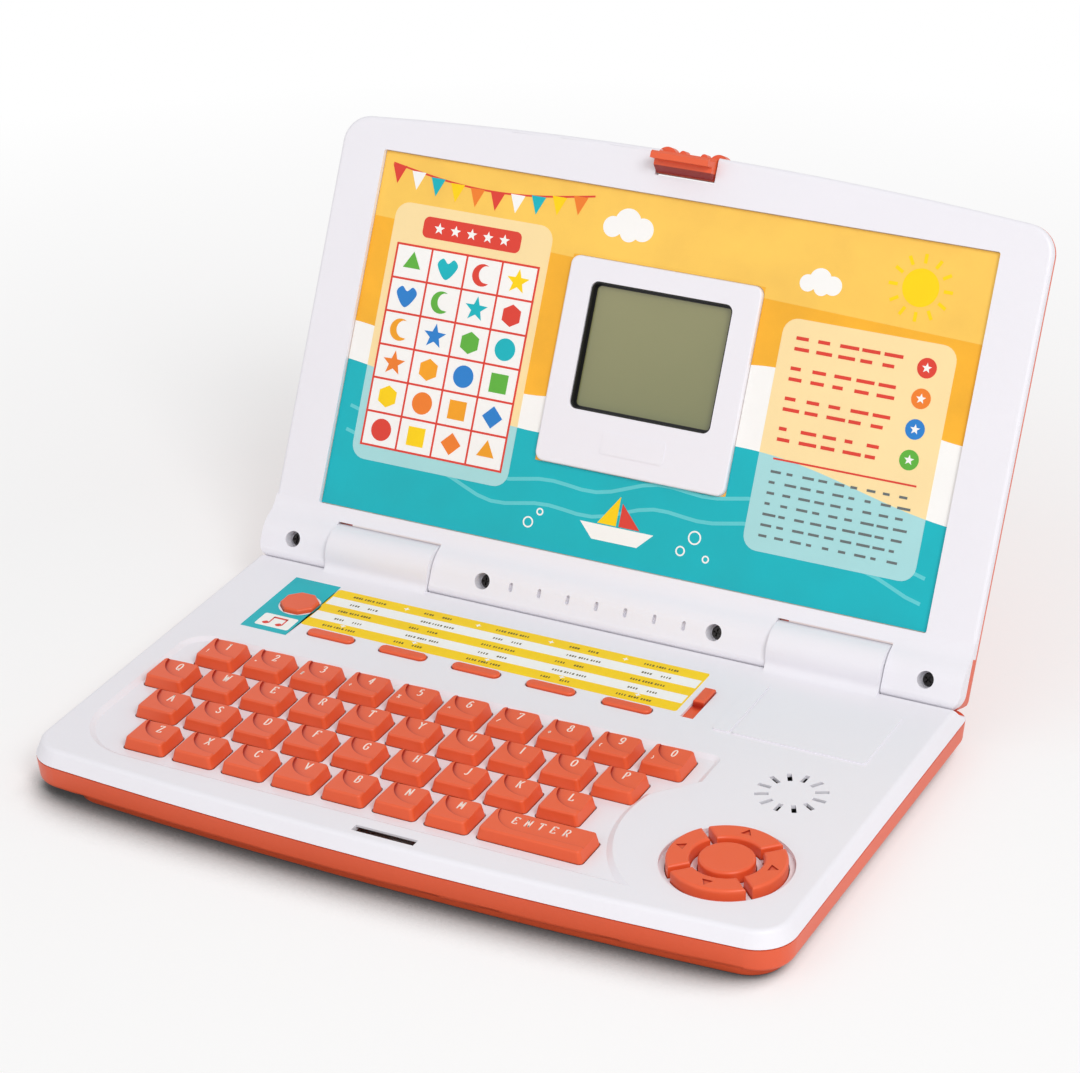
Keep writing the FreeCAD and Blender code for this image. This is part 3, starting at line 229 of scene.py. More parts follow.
def painted_hook_shade(tree, place, colour):
    """The catch's colour with painted shade, turned deep on the slope under its hook."""
    arm = tree.nodes.new("ShaderNodeVectorMath")
    arm.operation = "SUBTRACT"
    arm.inputs[1].default_value = LID.translation
    tree.links.new(place, arm.inputs[0])
    reaches = []
    for direction in (LID.col[1], LID.col[2]):
        node = tree.nodes.new("ShaderNodeVectorMath")
        node.operation = "DOT_PRODUCT"
        node.inputs[1].default_value = direction.xyz.normalized()
        tree.links.new(arm.outputs["Vector"], node.inputs[0])
        reaches.append(node.outputs["Value"])
    below = spread(tree, reaches[0], 1.0, 0.0, *HOOK_UNDERSIDE)
    ahead = spread(tree, reaches[1], 0.0, 1.0, *HOOK_FRONT)
    return mixed(tree, calculated(tree, "MULTIPLY", below, ahead), colour, SHADED_RED)


def moulded_plastic(name, colour, roughness, grain=2600.0, drift=0.03, bump=0.12, shade_painter=None):
    """Moulded plastic with a fine mould grain, uneven gloss and faint rubbing, and painted shade where a
    function for it is given.
    """
    material, tree, shader, place = new_material(name)
    parts = place_group(tree, GRAIN, place, {"Grain Scale": grain})
    body = mixed(tree, parts["Drift"], shaded(colour, 1 - drift), shaded(colour, 1 + drift))
    rubbing = calculated(tree, "MULTIPLY", parts["Rubbing"], 0.25)
    rubbing_and_painted_shade = mixed(tree, rubbing, body, shaded(colour, 1 + drift * 3))
    # Painted shade is added here where a function for it is given.
    if shade_painter:
        rubbing_and_painted_shade = shade_painter(tree, place, rubbing_and_painted_shade)
    tree.links.new(rubbing_and_painted_shade, shader.inputs["Base Color"])
    uneven = spread(tree, parts["Grain"], roughness - GLOSS_SWING, roughness + GLOSS_SWING)
    dull = calculated(tree, "MULTIPLY", parts["Rubbing"], GLOSS_SWING)
    tree.links.new(calculated(tree, "ADD", uneven, dull), shader.inputs["Roughness"])
    bumped(tree, shader, parts["Grain"], bump, GRAIN_DEPTH)
    return material


def printed(name, colour, roughness=0.42, cloud=0.04):
    """Ink printed on card or film."""
    material, tree, shader, place = new_material(name)
    shader.inputs["Specular IOR Level"].default_value = 0.25
    parts = place_group(tree, INK, place, {})
    body = mixed(tree, parts["Cloud"], shaded(colour, 1 - cloud), shaded(colour, 1 + cloud))
    dots = calculated(tree, "MULTIPLY", parts["Dots"], 0.12)
    tree.links.new(mixed(tree, dots, body, shaded(colour, 1 - cloud * 2)), shader.inputs["Base Color"])
    uneven = spread(tree, parts["Cloud"], roughness - INK_GLOSS_SWING, roughness + INK_GLOSS_SWING)
    tree.links.new(uneven, shader.inputs["Roughness"])
    bumped(tree, shader, parts["Dots"], 0.05, DOT_DEPTH)
    return material


def screw_steel(name, dark, light):
    """Screw steel with turning marks, between two tones."""
    material, tree, shader, place = new_material(name)
    shader.inputs["Metallic"].default_value = 1.0
    parts = place_group(tree, GRAIN, place, {"Grain Scale": 5200.0})
    tree.links.new(mixed(tree, parts["Drift"], dark, light), shader.inputs["Base Color"])
    tree.links.new(spread(tree, parts["Grain"], 0.28, 0.5), shader.inputs["Roughness"])
    bumped(tree, shader, parts["Grain"], 0.15, STEEL_DEPTH)
    return material


def display_film(name):
    """The grey-green film of the display, with painted light making it lighter at its upper left, under a
    glossy sheet.
    """
    material, tree, shader, place = new_material(name)
    axes = tree.nodes.new("ShaderNodeSeparateXYZ")
    tree.links.new(place, axes.inputs["Vector"])
    # Painted light: the film is lighter towards its top and its left.
    up = spread(tree, axes.outputs["Z"], 0.0, 0.75, *DISPLAY_Z)
    leftward = spread(tree, axes.outputs["X"], 0.25, 0.0, *DISPLAY_X)
    parts = place_group(tree, INK, place, {"Dot Scale": 3200.0})
    slope = calculated(tree, "ADD", up, leftward)
    fade = calculated(tree, "ADD", slope, spread(tree, parts["Cloud"], -0.04, 0.04))
    tree.links.new(mixed(tree, fade, srgb(117, 120, 75), srgb(140, 138, 92)), shader.inputs["Base Color"])
    tree.links.new(spread(tree, parts["Dots"], 0.16, 0.24), shader.inputs["Roughness"])
    shader.inputs["Coat Weight"].default_value = 0.4
    return material


def board_lacquer(name):
    """Lacquered laminate with the shadow of its copper tracks."""
    material, tree, shader, place = new_material(name)
    tracks = tree.nodes.new("ShaderNodeTexBrick")
    tracks.inputs["Scale"].default_value = 160.0
    tracks.inputs["Mortar Size"].default_value = 0.05
    tracks.inputs["Color1"].default_value = srgb(28, 92, 48)
    tracks.inputs["Color2"].default_value = srgb(34, 104, 54)
    tracks.inputs["Mortar"].default_value = srgb(58, 132, 72)
    tree.links.new(place, tracks.inputs["Vector"])
    tree.links.new(tracks.outputs["Color"], shader.inputs["Base Color"])
    parts = place_group(tree, GRAIN, place, {"Grain Scale": 3000.0})
    tree.links.new(spread(tree, parts["Grain"], 0.25, 0.4), shader.inputs["Roughness"])
    bumped(tree, shader, tracks.outputs["Fac"], 0.1, TRACK_DEPTH)
    return material


WHITE = srgb(237, 235, 241)
ORANGE = srgb(228, 90, 50)
KEY_ORANGE = srgb(231, 92, 48)
CREASE_SHADE_ORANGE = srgb(176, 44, 22)
SHADED_RED = srgb(142, 24, 20)

MATERIALS = {
    "white_shell": moulded_plastic("white_shell_plastic", WHITE, 0.42, drift=0.012),
    "orange_shell": moulded_plastic("orange_shell_plastic", ORANGE, 0.38),
    # The buttons' plastic has painted shade in its creases, such as round each key's dish.
    "orange_button": moulded_plastic("orange_key_plastic_painted_crease_shade", KEY_ORANGE, 0.4, grain=3200.0, shade_painter=painted_crease_shade),
    "key_rubber": moulded_plastic("silicone_sheet", srgb(206, 206, 200), 0.62, grain=1800.0),
    "circuit_board": board_lacquer("board_lacquer"),
    "speaker": moulded_plastic("speaker_paper", srgb(34, 33, 34), 0.6, grain=1500.0, drift=0.2, bump=0.3),
    "display": display_film("display_film"),
    "printed_card": printed("card_amber_ink", srgb(248, 180, 48), cloud=0.07),
}
# The catch's plastic has painted shade on the slope under its hook.
CATCH = moulded_plastic("catch_plastic_painted_shade", KEY_ORANGE, 0.4, grain=3200.0, shade_painter=painted_hook_shade)
INKS = {
    "white": printed("white_ink", srgb(248, 247, 244), cloud=0.015),
    "legend": printed("legend_ink", srgb(250, 230, 219), 0.35, cloud=0.02),
    "yellow": printed("yellow_ink", srgb(255, 212, 8)),
    "light_amber": printed("light_amber_ink", srgb(252, 202, 92), cloud=0.06),
    "deep_amber": printed("deep_amber_ink", srgb(245, 163, 34), cloud=0.06),
    "cream": printed("cream_ink", srgb(251, 224, 166), cloud=0.02),
    "teal": printed("teal_ink", srgb(18, 180, 191)),
    "pale_teal": printed("pale_teal_ink", srgb(168, 219, 221), cloud=0.02),
    "light_teal": printed("light_teal_ink", srgb(96, 203, 209)),
    "red": printed("red_ink", srgb(222, 66, 52)),
    "orange": printed("orange_ink", srgb(240, 128, 44)),
    "blue": printed("blue_ink", srgb(42, 128, 205)),
    "green": printed("green_ink", srgb(94, 176, 62)),
    "grey": printed("grey_ink", srgb(104, 112, 112)),
    "olive": printed("olive_ink", srgb(104, 92, 40)),
    "black": printed("black_ink", srgb(30, 30, 30), 0.3),
}
PLATED_STEEL = screw_steel("plated_screw_steel", srgb(120, 118, 116), srgb(158, 156, 152))
BLACK_STEEL = screw_steel("black_screw_steel", srgb(38, 37, 38), srgb(58, 56, 56))


# Meshes

def new_piece(name, mesh, body):
    """A finished piece that rides on a body."""
    item = bpy.data.objects.new(name, mesh)
    bpy.context.scene.collection.objects.link(item)
    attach(item, body)


class Print:
    """Flat shapes of ink, each a thin closed plate, drawn on one plane and joined to one mesh."""

    def __init__(self, place, level):
        self.mesh = bmesh.new()
        self.place = place
        self.level = level
        self.inks = []

    def ink(self, name):
        """The number of an ink in this print."""
        if name not in self.inks:
            self.inks.append(name)
        return self.inks.index(name)

    def plate(self, points, ink, height):
        """A plate from an outline, drawn anticlockwise."""
        number = self.ink(ink)
        low = [self.mesh.verts.new((x, y, self.level)) for x, y in points]
        high = [self.mesh.verts.new((x, y, self.level + height)) for x, y in points]
        self.mesh.faces.new(high).material_index = number
        self.mesh.faces.new(low[::-1]).material_index = number
        for i, corner in enumerate(low):
            j = (i + 1) % len(low)
            self.mesh.faces.new((corner, low[j], high[j], high[i])).material_index = number

    def stroke(self, points, pen, ink, height, closed=False, floor=None):
        """A pen line: the pen's width across and its height along give thick and thin parts."""
        number = self.ink(ink)
        rows = []
        count = len(points)
        for i, point in enumerate(points):
            before = points[i - 1] if i or closed else point
            after = points[(i + 1) % count] if i < count - 1 or closed else point
            run = (Vector(after) - Vector(before)).normalized()
            side = Vector((-run.y * pen[0] / 2, run.x * pen[1] / 2))
            rows.append((Vector(point) + side, Vector(point) - side))
        layers = []
        for raise_by in (0.0, height):
            layer = []
            for pair in rows:
                layer.append([self.mesh.verts.new(
                    (p.x, p.y, (floor(p.x, p.y) if floor else self.level) + raise_by)) for p in pair])
            layers.append(layer)
        low, high = layers
        for i in range(count if closed else count - 1):
            j = (i + 1) % count
            for ring in ((high[i][1], high[j][1], high[j][0], high[i][0]),
                         (low[i][0], low[j][0], low[j][1], low[i][1]),
                         (low[i][1], low[j][1], high[j][1], high[i][1]),
                         (high[i][0], high[j][0], low[j][0], low[i][0])):
                self.mesh.faces.new(ring).material_index = number
        if not closed:
            self.mesh.faces.new((low[0][0], low[0][1], high[0][1], high[0][0])).material_index = number
            self.mesh.faces.new((low[-1][1], low[-1][0], high[-1][0], high[-1][1])).material_index = number

    def make(self, name, body):
        """The print as a piece."""
        bmesh.ops.recalc_face_normals(self.mesh, faces=self.mesh.faces)
        mesh = bpy.data.meshes.new(name)
        self.mesh.to_mesh(mesh)
        self.mesh.free()
        mesh.transform(self.place)
        for ink in self.inks:
            mesh.materials.append(INKS[ink])
        new_piece(name, mesh, body)


def circle(x, y, radius, count=32, start=0.0):
    """Points round a circle."""
    turns = [start + math.tau * i / count for i in range(count)]
    return [(x + radius * math.cos(t), y + radius * math.sin(t)) for t in turns]


def rectangle(x0, y0, x1, y1, corner=0.0, steps=6):
    """A rectangle, its corners rounded where a corner is given."""
    if not corner:
        return [(x0, y0), (x1, y0), (x1, y1), (x0, y1)]
    points = []
    for cx, cy, start in ((x1 - corner, y0 + corner, -90), (x1 - corner, y1 - corner, 0),
                          (x0 + corner, y1 - corner, 90), (x0 + corner, y0 + corner, 180)):
        for i in range(steps + 1):
            turn = math.radians(start + 90 * i / steps)
            points.append((cx + corner * math.cos(turn), cy + corner * math.sin(turn)))
    return points


def star(x, y, radius, points=5, waist=0.42):
    """A star with one point up."""
    outline = []
    for i in range(points * 2):
        turn = math.pi / 2 + math.pi * i / points
        reach = radius * (waist if i % 2 else 1.0)
        outline.append((x + reach * math.cos(turn), y + reach * math.sin(turn)))
    return outline


def spline(points, closed=False, steps=6):
    """A smooth line through points."""
    count = len(points)
    line = []
    for i in range(count if closed else count - 1):
        four = []
        for k in (i - 1, i, i + 1, i + 2):
            four.append(Vector(points[k % count] if closed else points[min(max(k, 0), count - 1)]))
        a, b, c, d = four
        for step in range(steps):
            t = step / steps
            point = (b * 2 + (c - a) * t + (a * 2 - b * 5 + c * 4 - d) * t * t
                     + (b * 3 - a - c * 3 + d) * t ** 3) / 2
            line.append((point.x, point.y))
    if not closed:
        line.append(tuple(points[-1]))
    return line


# Geometry node trees for what repeats

def repeat_tree(name, inputs):
    """An empty tree for repeated shapes: points in, shapes out."""
    tree = bpy.data.node_groups.new(name, "GeometryNodeTree")
    tree.interface.new_socket("Points", in_out="INPUT", socket_type="NodeSocketGeometry")
    for label, kind, value in inputs:
        socket = tree.interface.new_socket(label, in_out="INPUT", socket_type=kind)
        if value is not None:
            socket.default_value = value
    tree.interface.new_socket("Shapes", in_out="OUTPUT", socket_type="NodeSocketGeometry")
    return tree, tree.nodes.new("NodeGroupInput"), tree.nodes.new("NodeGroupOutput")


def end_tree(tree, start, end, shape, scale=None, rotation=None):
    """Set a shape on each point, make the copies real and give them their material."""
    copies = tree.nodes.new("GeometryNodeInstanceOnPoints")
    real = tree.nodes.new("GeometryNodeRealizeInstances")
    paint = tree.nodes.new("GeometryNodeSetMaterial")
    tree.links.new(start.outputs["Points"], copies.inputs["Points"])
    tree.links.new(shape, copies.inputs["Instance"])
    for socket, label in ((scale, "Scale"), (rotation, "Rotation")):
        if socket is not None:
            tree.links.new(socket, copies.inputs[label])
    tree.links.new(copies.outputs["Instances"], real.inputs["Geometry"])
    tree.links.new(real.outputs["Geometry"], paint.inputs["Geometry"])
    tree.links.new(start.outputs["Material"], paint.inputs["Material"])
    tree.links.new(paint.outputs["Geometry"], end.inputs["Shapes"])


def random_vector(tree, start, low, high):
    """A random vector for each point, from the tree's seed."""
    node = tree.nodes.new("FunctionNodeRandomValue")
    node.data_type = "FLOAT_VECTOR"
    node.inputs[0].default_value = low
    node.inputs[1].default_value = high
    tree.links.new(start.outputs["Seed"], node.inputs["Seed"])
    return node


def text_bar_tree():
    """Rows of short bars that start at their points, like lines of small print."""
    tree, start, end = repeat_tree("text_bars", [
        ("Length", "NodeSocketFloat", 10.0), ("Height", "NodeSocketFloat", 0.8),
        ("Thickness", "NodeSocketFloat", 0.04), ("Shortest", "NodeSocketFloat", 0.6),
        ("Seed", "NodeSocketInt", 1), ("Material", "NodeSocketMaterial", None)])
    size = tree.nodes.new("ShaderNodeCombineXYZ")
    shift = tree.nodes.new("ShaderNodeCombineXYZ")
    half = tree.nodes.new("ShaderNodeMath")
    half.operation = "MULTIPLY"
    half.inputs[1].default_value = 0.5
    bar = tree.nodes.new("GeometryNodeMeshCube")
    slide = tree.nodes.new("GeometryNodeTransform")
    for label, axis in (("Length", "X"), ("Height", "Y"), ("Thickness", "Z")):
        tree.links.new(start.outputs[label], size.inputs[axis])
    tree.links.new(start.outputs["Length"], half.inputs[0])
    tree.links.new(half.outputs[0], shift.inputs["X"])
    tree.links.new(size.outputs[0], bar.inputs["Size"])
    tree.links.new(bar.outputs["Mesh"], slide.inputs["Geometry"])
    tree.links.new(shift.outputs[0], slide.inputs["Translation"])
    wide = random_vector(tree, start, (0.0, 1.0, 1.0), (1.0, 1.0, 1.0))
    low = tree.nodes.new("ShaderNodeCombineXYZ")
    for axis in ("Y", "Z"):
        low.inputs[axis].default_value = 1.0
    tree.links.new(start.outputs["Shortest"], low.inputs["X"])
    tree.links.new(low.outputs[0], wide.inputs[0])
    end_tree(tree, start, end, slide.outputs["Geometry"], scale=wide.outputs[0])
    return tree


def screw_tree():
    """Pan-head screws with a cross recess, each turned its own way."""
    tree, start, end = repeat_tree("cross_screws", [
        ("Radius", "NodeSocketFloat", 2.3), ("Head", "NodeSocketFloat", 1.4),
        ("Recess Width", "NodeSocketFloat", 0.55), ("Recess Length", "NodeSocketFloat", 2.6),
        ("Recess Depth", "NodeSocketFloat", 1.6),
        ("Seed", "NodeSocketInt", 1), ("Material", "NodeSocketMaterial", None)])
    head = tree.nodes.new("GeometryNodeMeshCone")
    head.inputs["Vertices"].default_value = 28
    crown = tree.nodes.new("ShaderNodeMath")
    crown.operation = "MULTIPLY"
    crown.inputs[1].default_value = 0.74
    tree.links.new(start.outputs["Radius"], crown.inputs[0])
    tree.links.new(crown.outputs[0], head.inputs["Radius Top"])
    tree.links.new(start.outputs["Radius"], head.inputs["Radius Bottom"])
    tree.links.new(start.outputs["Head"], head.inputs["Depth"])
    raise_to = tree.nodes.new("ShaderNodeCombineXYZ")
    tree.links.new(start.outputs["Head"], raise_to.inputs["Z"])
    recess = tree.nodes.new("GeometryNodeMeshBoolean")
    recess.operation = "DIFFERENCE"
    tree.links.new(head.outputs["Mesh"], recess.inputs["Mesh 1"])
    for first, second in (("Recess Length", "Recess Width"), ("Recess Width", "Recess Length")):
        size = tree.nodes.new("ShaderNodeCombineXYZ")
        tree.links.new(start.outputs[first], size.inputs["X"])
        tree.links.new(start.outputs[second], size.inputs["Y"])
        tree.links.new(start.outputs["Recess Depth"], size.inputs["Z"])
        blade = tree.nodes.new("GeometryNodeMeshCube")
        lift = tree.nodes.new("GeometryNodeTransform")
        tree.links.new(size.outputs[0], blade.inputs["Size"])
        tree.links.new(blade.outputs["Mesh"], lift.inputs["Geometry"])
        tree.links.new(raise_to.outputs[0], lift.inputs["Translation"])
        tree.links.new(lift.outputs["Geometry"], recess.inputs["Mesh 2"])
    turn = random_vector(tree, start, (0.0, 0.0, 0.0), (0.0, 0.0, math.pi / 2))
    end_tree(tree, start, end, recess.outputs["Mesh"], rotation=turn.outputs[0])
    return tree


TEXT_BARS = text_bar_tree()
SCREWS = screw_tree()


def repeated(name, tree, points, values, place, body):
    """A piece made by a tree from points, with the tree's inputs set by their labels."""
    mesh = bpy.data.meshes.new(name + "_points")
    mesh.from_pydata(points, [], [])
    item = bpy.data.objects.new(name + "_points", mesh)
    bpy.context.scene.collection.objects.link(item)
    modifier = item.modifiers.new("repeat", "NODES")
    modifier.node_group = tree
    sockets = [socket for socket in tree.interface.items_tree if socket.in_out == "INPUT"]
    labels = {socket.name: socket.identifier for socket in sockets}
    for label, value in values.items():
        modifier[labels[label]] = value
    graph = bpy.context.evaluated_depsgraph_get()
    made = bpy.data.meshes.new_from_object(item.evaluated_get(graph), depsgraph=graph)
    bpy.data.objects.remove(item)
    bpy.data.meshes.remove(mesh)
    made.name = name
    made.transform(place)
    new_piece(name, made, body)


# Finish of the CAD pieces

for part in frame["record"]["subparts"]:
    node = frame["nodes"][part["node"]]
    node.data.materials.clear()
    node.data.materials.append(CATCH if part["node"] == "latch" else MATERIALS[part["material_slot"]])


# Key legends: letters drawn with a broad pen

# L is a straight line, S a smooth one, O a closed smooth one, and T a row of serifs. The field is 6 by 8.
GLYPHS = {
    "A": "L 0.3,0 3,8 5.7,0|L 1.4,2.8 4.6,2.8|T 0.3,0 5.7,0",
    "B": "L 1,0 1,8|S 1,8 3.6,8 4.8,6.2 3.6,4.3 1,4.3|S 1,4.3 4,4.3 5.4,2.2 4,0 1,0",
    "C": "S 5.4,6.2 4.5,7.6 3,8 1.2,6.8 0.6,4 1.2,1.2 3,0 4.5,0.4 5.5,1.8",
    "D": "L 1,0 1,8|S 1,8 3,7.9 5.1,6.5 5.6,4 5.1,1.5 3,0.1 1,0",
    "E": "L 1,0 1,8|L 1,8 5.2,8 5.2,6.6|L 1,4.2 4,4.2|L 1,0 5.4,0 5.4,1.5",
    "F": "L 1,0 1,8|L 1,8 5.2,8 5.2,6.6|L 1,4.2 4,4.2|T 1,0",
    "G": "S 5.4,6.2 4.5,7.6 3,8 1.2,6.8 0.6,4 1.2,1.2 3,0 4.6,0.4 5.3,1.4|L 5.3,1.4 5.3,3.6 3.6,3.6",
    "H": "L 1,0 1,8|L 5,0 5,8|L 1,4.1 5,4.1|T 1,0 1,8 5,0 5,8",
    "I": "L 3,0 3,8|T 3,0 3,8",
    "J": "S 4,8 4,3 3.6,0.8 2.2,0 1,0.9|T 4,8",
    "K": "L 1,0 1,8|L 5,8 1,3.6|L 2.4,5 5.3,0|T 1,0 1,8 5,8 5.3,0",
    "L": "L 1,8 1,0|L 1,0 5.2,0 5.2,1.6|T 1,8",
    "M": "L 0.6,0 0.9,8 3,2 5.1,8 5.4,0|T 0.6,0 5.4,0",
    "N": "L 0.8,0 0.8,8 5.2,0 5.2,8|T 0.8,0 5.2,8",
    "O": "O 3,8 1.2,6.8 0.6,4 1.2,1.2 3,0 4.8,1.2 5.4,4 4.8,6.8",
    "P": "L 1,0 1,8|S 1,8 3.8,8 5.2,6 3.8,3.9 1,3.8|T 1,0",
    "Q": "O 3,8 1.2,6.8 0.6,4 1.2,1.2 3,0 4.8,1.2 5.4,4 4.8,6.8|L 3.4,1.8 5.6,-0.8",
    "R": "L 1,0 1,8|S 1,8 3.8,8 5.2,6 3.8,3.9 1,3.8|L 3,3.8 5.4,0|T 1,0 5.4,0",
    "S": "S 5,6.6 3.8,8 2,7.8 1,6.2 2,4.8 4,3.6 5.2,2 4.2,0.3 2.2,0 0.8,1.6",
    "T": "L 3,0 3,8|L 0.6,6.8 0.6,8 5.4,8 5.4,6.8|T 3,0",
    "U": "S 0.9,8 0.9,3 1.6,0.7 3,0 4.4,0.7 5.1,3 5.1,8|T 0.9,8 5.1,8",
    "V": "L 0.3,8 3,0 5.7,8|T 0.3,8 5.7,8",
    "W": "L 0,8 1.6,0 3,6.5 4.4,0 6,8|T 0,8 6,8",
    "X": "L 0.6,0 5.4,8|L 0.6,8 5.4,0|T 0.6,0 5.4,0 0.6,8 5.4,8",
    "Y": "L 0.4,8 3,4 5.6,8|L 3,4 3,0|T 0.4,8 5.6,8 3,0",
    "Z": "L 0.8,6.6 0.8,8 5.2,8 0.8,0 5.4,0 5.4,1.5",
    "0": "O 3,8 1.5,6.8 1,4 1.5,1.2 3,0 4.5,1.2 5,4 4.5,6.8",
    "1": "L 1.8,6.6 3,8 3,0|T 3,0",
    "2": "S 1,6.2 1.6,7.6 3,8 4.6,7 4.6,5.4 3,3 1,0|L 1,0 5.2,0 5.2,1.2",
    "3": "S 1,6.8 2.6,8 4.6,7.2 4.4,5 2.6,4.3|S 2.6,4.3 4.8,3.6 5,1.4 3.2,0 1,0.9",
    "4": "L 4,0 4,8 0.7,2.4 5.4,2.4|T 4,0",
    "5": "L 4.8,8 1.6,8 1.3,4.6|S 1.3,4.6 3.4,5 5,3.6 4.8,1.2 3,0 1,0.8",
    "6": "S 4.8,7.2 3,8 1.4,6.2 0.9,3|O 3,4.8 1.1,3.6 1.1,1.2 3,0 4.9,1.2 4.9,3.6",
    "7": "L 0.9,6.8 0.9,8 5.2,8 2.4,0",
    "8": "O 3,8 1.5,7 1.5,5.2 3,4.3 4.5,5.2 4.5,7|O 3,4.3 1,3.2 1,1.1 3,0 5,1.1 5,3.2",
    "9": "S 1.2,0.8 3,0 4.6,1.8 5.1,5|O 3,8 1.1,6.8 1.1,4.4 3,3.2 4.9,4.4 4.9,6.8",
    "!": "L 3,2.6 3,8|L 3,0 3,0.9",
    "\"": "L 2,5.4 2,8|L 4,5.4 4,8",
    "#": "L 1.6,0 2.4,8|L 3.8,0 4.6,8|L 0.6,2.6 5.2,2.6|L 0.8,5.4 5.4,5.4",
    "+": "L 3,1 3,7|L 0.4,4 5.6,4",
    "%": "L 0.6,0 5.4,8|O 1.4,8 0.4,6.8 1.4,5.6 2.4,6.8|O 4.6,2.4 3.6,1.2 4.6,0 5.6,1.2",
    "^": "L 0.8,4.6 3,8 5.2,4.6",
    "/": "L 1,0 5,8",
    "*": "L 3,2 3,8|L 0.6,3.4 5.4,6.6|L 0.6,6.6 5.4,3.4",
    "(": "S 4,8 2.4,6 2,4 2.4,2 4,0",
    ")": "S 2,8 3.6,6 4,4 3.6,2 2,0",
}
GLYPH_WIDTH, GLYPH_HEIGHT = 6.0, 8.0
KEY_ROWS = ("1234567890", "qwertyuiop", "asdfghjkl", "zxcvbnm")
SHIFT_MARKS = dict(zip(KEY_ROWS[0], "!\"#+%^/*()"))
FIRST_KEYS = (-97.7, -105.0, -96.8, -89.7)
KEY_PITCH_X, KEY_PITCH_Y, TOP_ROW_Y = 17.2, 17.6, 0.9
KEY_TOP = 18.25
DISH_X, DISH_Y, DISH_SLOPE = 4.6, 6.35, math.tan(math.radians(4.5))
ENTER_DISH = 0.4
LEGEND_X, LEGEND_Y = 0.9, 2.9
LEGEND_HEIGHT, LEGEND_NARROW, LEGEND_RISE = 3.4, 0.7, 0.06
MARK_X, MARK_Y, MARK_HEIGHT = -3.8, -2.4, 1.8
PEN, THIN_PEN = (0.5, 0.28), (0.28, 0.28)
SERIF = 1.7


def write(sheet, letter, x, y, height, pen, floor):
    """One letter, its middle at a place, on a floor that gives its height."""
    scale = height / GLYPH_HEIGHT

    def put(spot):
        aside = (spot[0] - GLYPH_WIDTH / 2) * scale * LEGEND_NARROW
        return (x + aside, y + (spot[1] - GLYPH_HEIGHT / 2) * scale)

    for line in GLYPHS[letter].split("|"):
        kind, *spots = line.split()
        spots = [tuple(float(value) for value in spot.split(",")) for spot in spots]
        closed = kind == "O"
        if kind == "T":
            runs = [[(foot_x - SERIF / 2, foot_y), (foot_x + SERIF / 2, foot_y)] for foot_x, foot_y in spots]
        elif kind == "L":
            runs = zip(spots, spots[1:])
        else:
            runs = [spline(spots, closed)]
        for run in runs:
            sheet.stroke([put(spot) for spot in run], pen, "legend", LEGEND_RISE, closed, floor)


def letter_key(row, column, letter):
    """The letter in a key's round dish, and on the number row a small mark beside it."""
    key_x = FIRST_KEYS[row] + KEY_PITCH_X * column
    key_y = TOP_ROW_Y - KEY_PITCH_Y * row

    def dish_floor(x, y):
        reach = (x - key_x - DISH_X + y - key_y - DISH_Y) * math.sqrt(0.5)
        return KEY_TOP + min(0.0, DISH_SLOPE * reach)

    sheet = Print(DECK, KEY_TOP)
    write(sheet, letter.upper(), key_x + LEGEND_X, key_y + LEGEND_Y, LEGEND_HEIGHT, PEN, dish_floor)
    if letter in SHIFT_MARKS:
        write(sheet, SHIFT_MARKS[letter], key_x + MARK_X, key_y + MARK_Y, MARK_HEIGHT, THIN_PEN,
              lambda x, y: KEY_TOP)
    sheet.make("legend_" + letter, "key_" + letter)


for row, letters in enumerate(KEY_ROWS):
    for column, letter in enumerate(letters):
        letter_key(row, column, letter)

ENTER_X, ENTER_SPACING, ENTER_LIFT = 40.75, 4.1, 2.2
ENTER_Y = TOP_ROW_Y - KEY_PITCH_Y * 3 + ENTER_LIFT
enter_legend = Print(DECK, KEY_TOP)
for number, letter in enumerate("ENTER"):
    write(enter_legend, letter, ENTER_X + ENTER_SPACING * (number - 2), ENTER_Y, LEGEND_HEIGHT, PEN,
          lambda x, y: KEY_TOP - ENTER_DISH)
enter_legend.make("legend_enter", "key_enter")


# Labels on the deck

LAYER = 0.05
OVERPRINT = LAYER * 1.6
GUIDE_X, GUIDE_Y = (-86.6, 46.2), (30.2, 55.6)
GUIDE_STRIPES, GUIDE_COLUMNS = 5, 5
GUIDE_MARGIN, GUIDE_CORNER = 0.6, 1.0
GUIDE_INDENT, GUIDE_STAGGER, WORD_LIFT = -6.4, 1.5, 0.46
SPARK, SPARK_LIFT = 1.1, 0.84
PILL_FIRST, PILL_PITCH = -73.2, 26.1

guide = Print(DECK, DECK_TOP)
guide.plate(rectangle(GUIDE_X[0], GUIDE_Y[0], GUIDE_X[1], GUIDE_Y[1], GUIDE_CORNER), "yellow", LAYER)
stripe = (GUIDE_Y[1] - GUIDE_Y[0]) / GUIDE_STRIPES
for number in range(1, GUIDE_STRIPES, 2):
    low = GUIDE_Y[0] + stripe * number
    outline = rectangle(GUIDE_X[0] + GUIDE_MARGIN, low, GUIDE_X[1] - GUIDE_MARGIN, low + stripe)
    guide.plate(outline, "white", OVERPRINT)
for column in range(GUIDE_COLUMNS):
    pill_x = PILL_FIRST + PILL_PITCH * column
    guide.plate(star(pill_x, GUIDE_Y[0] + stripe * SPARK_LIFT, SPARK, 4), "white", OVERPRINT)
    if column < GUIDE_COLUMNS - 1:
        guide.plate(star(pill_x + PILL_PITCH / 2, GUIDE_Y[1] - stripe / 2, SPARK, 4), "white", OVERPRINT)
guide.make("guide_label", "base")


def word_points(starts, count, pitch, level):
    """Places for the words of lines of small print, from the lines' starts."""
    return [(x + pitch * number, y, level) for x, y in starts for number in range(count)]


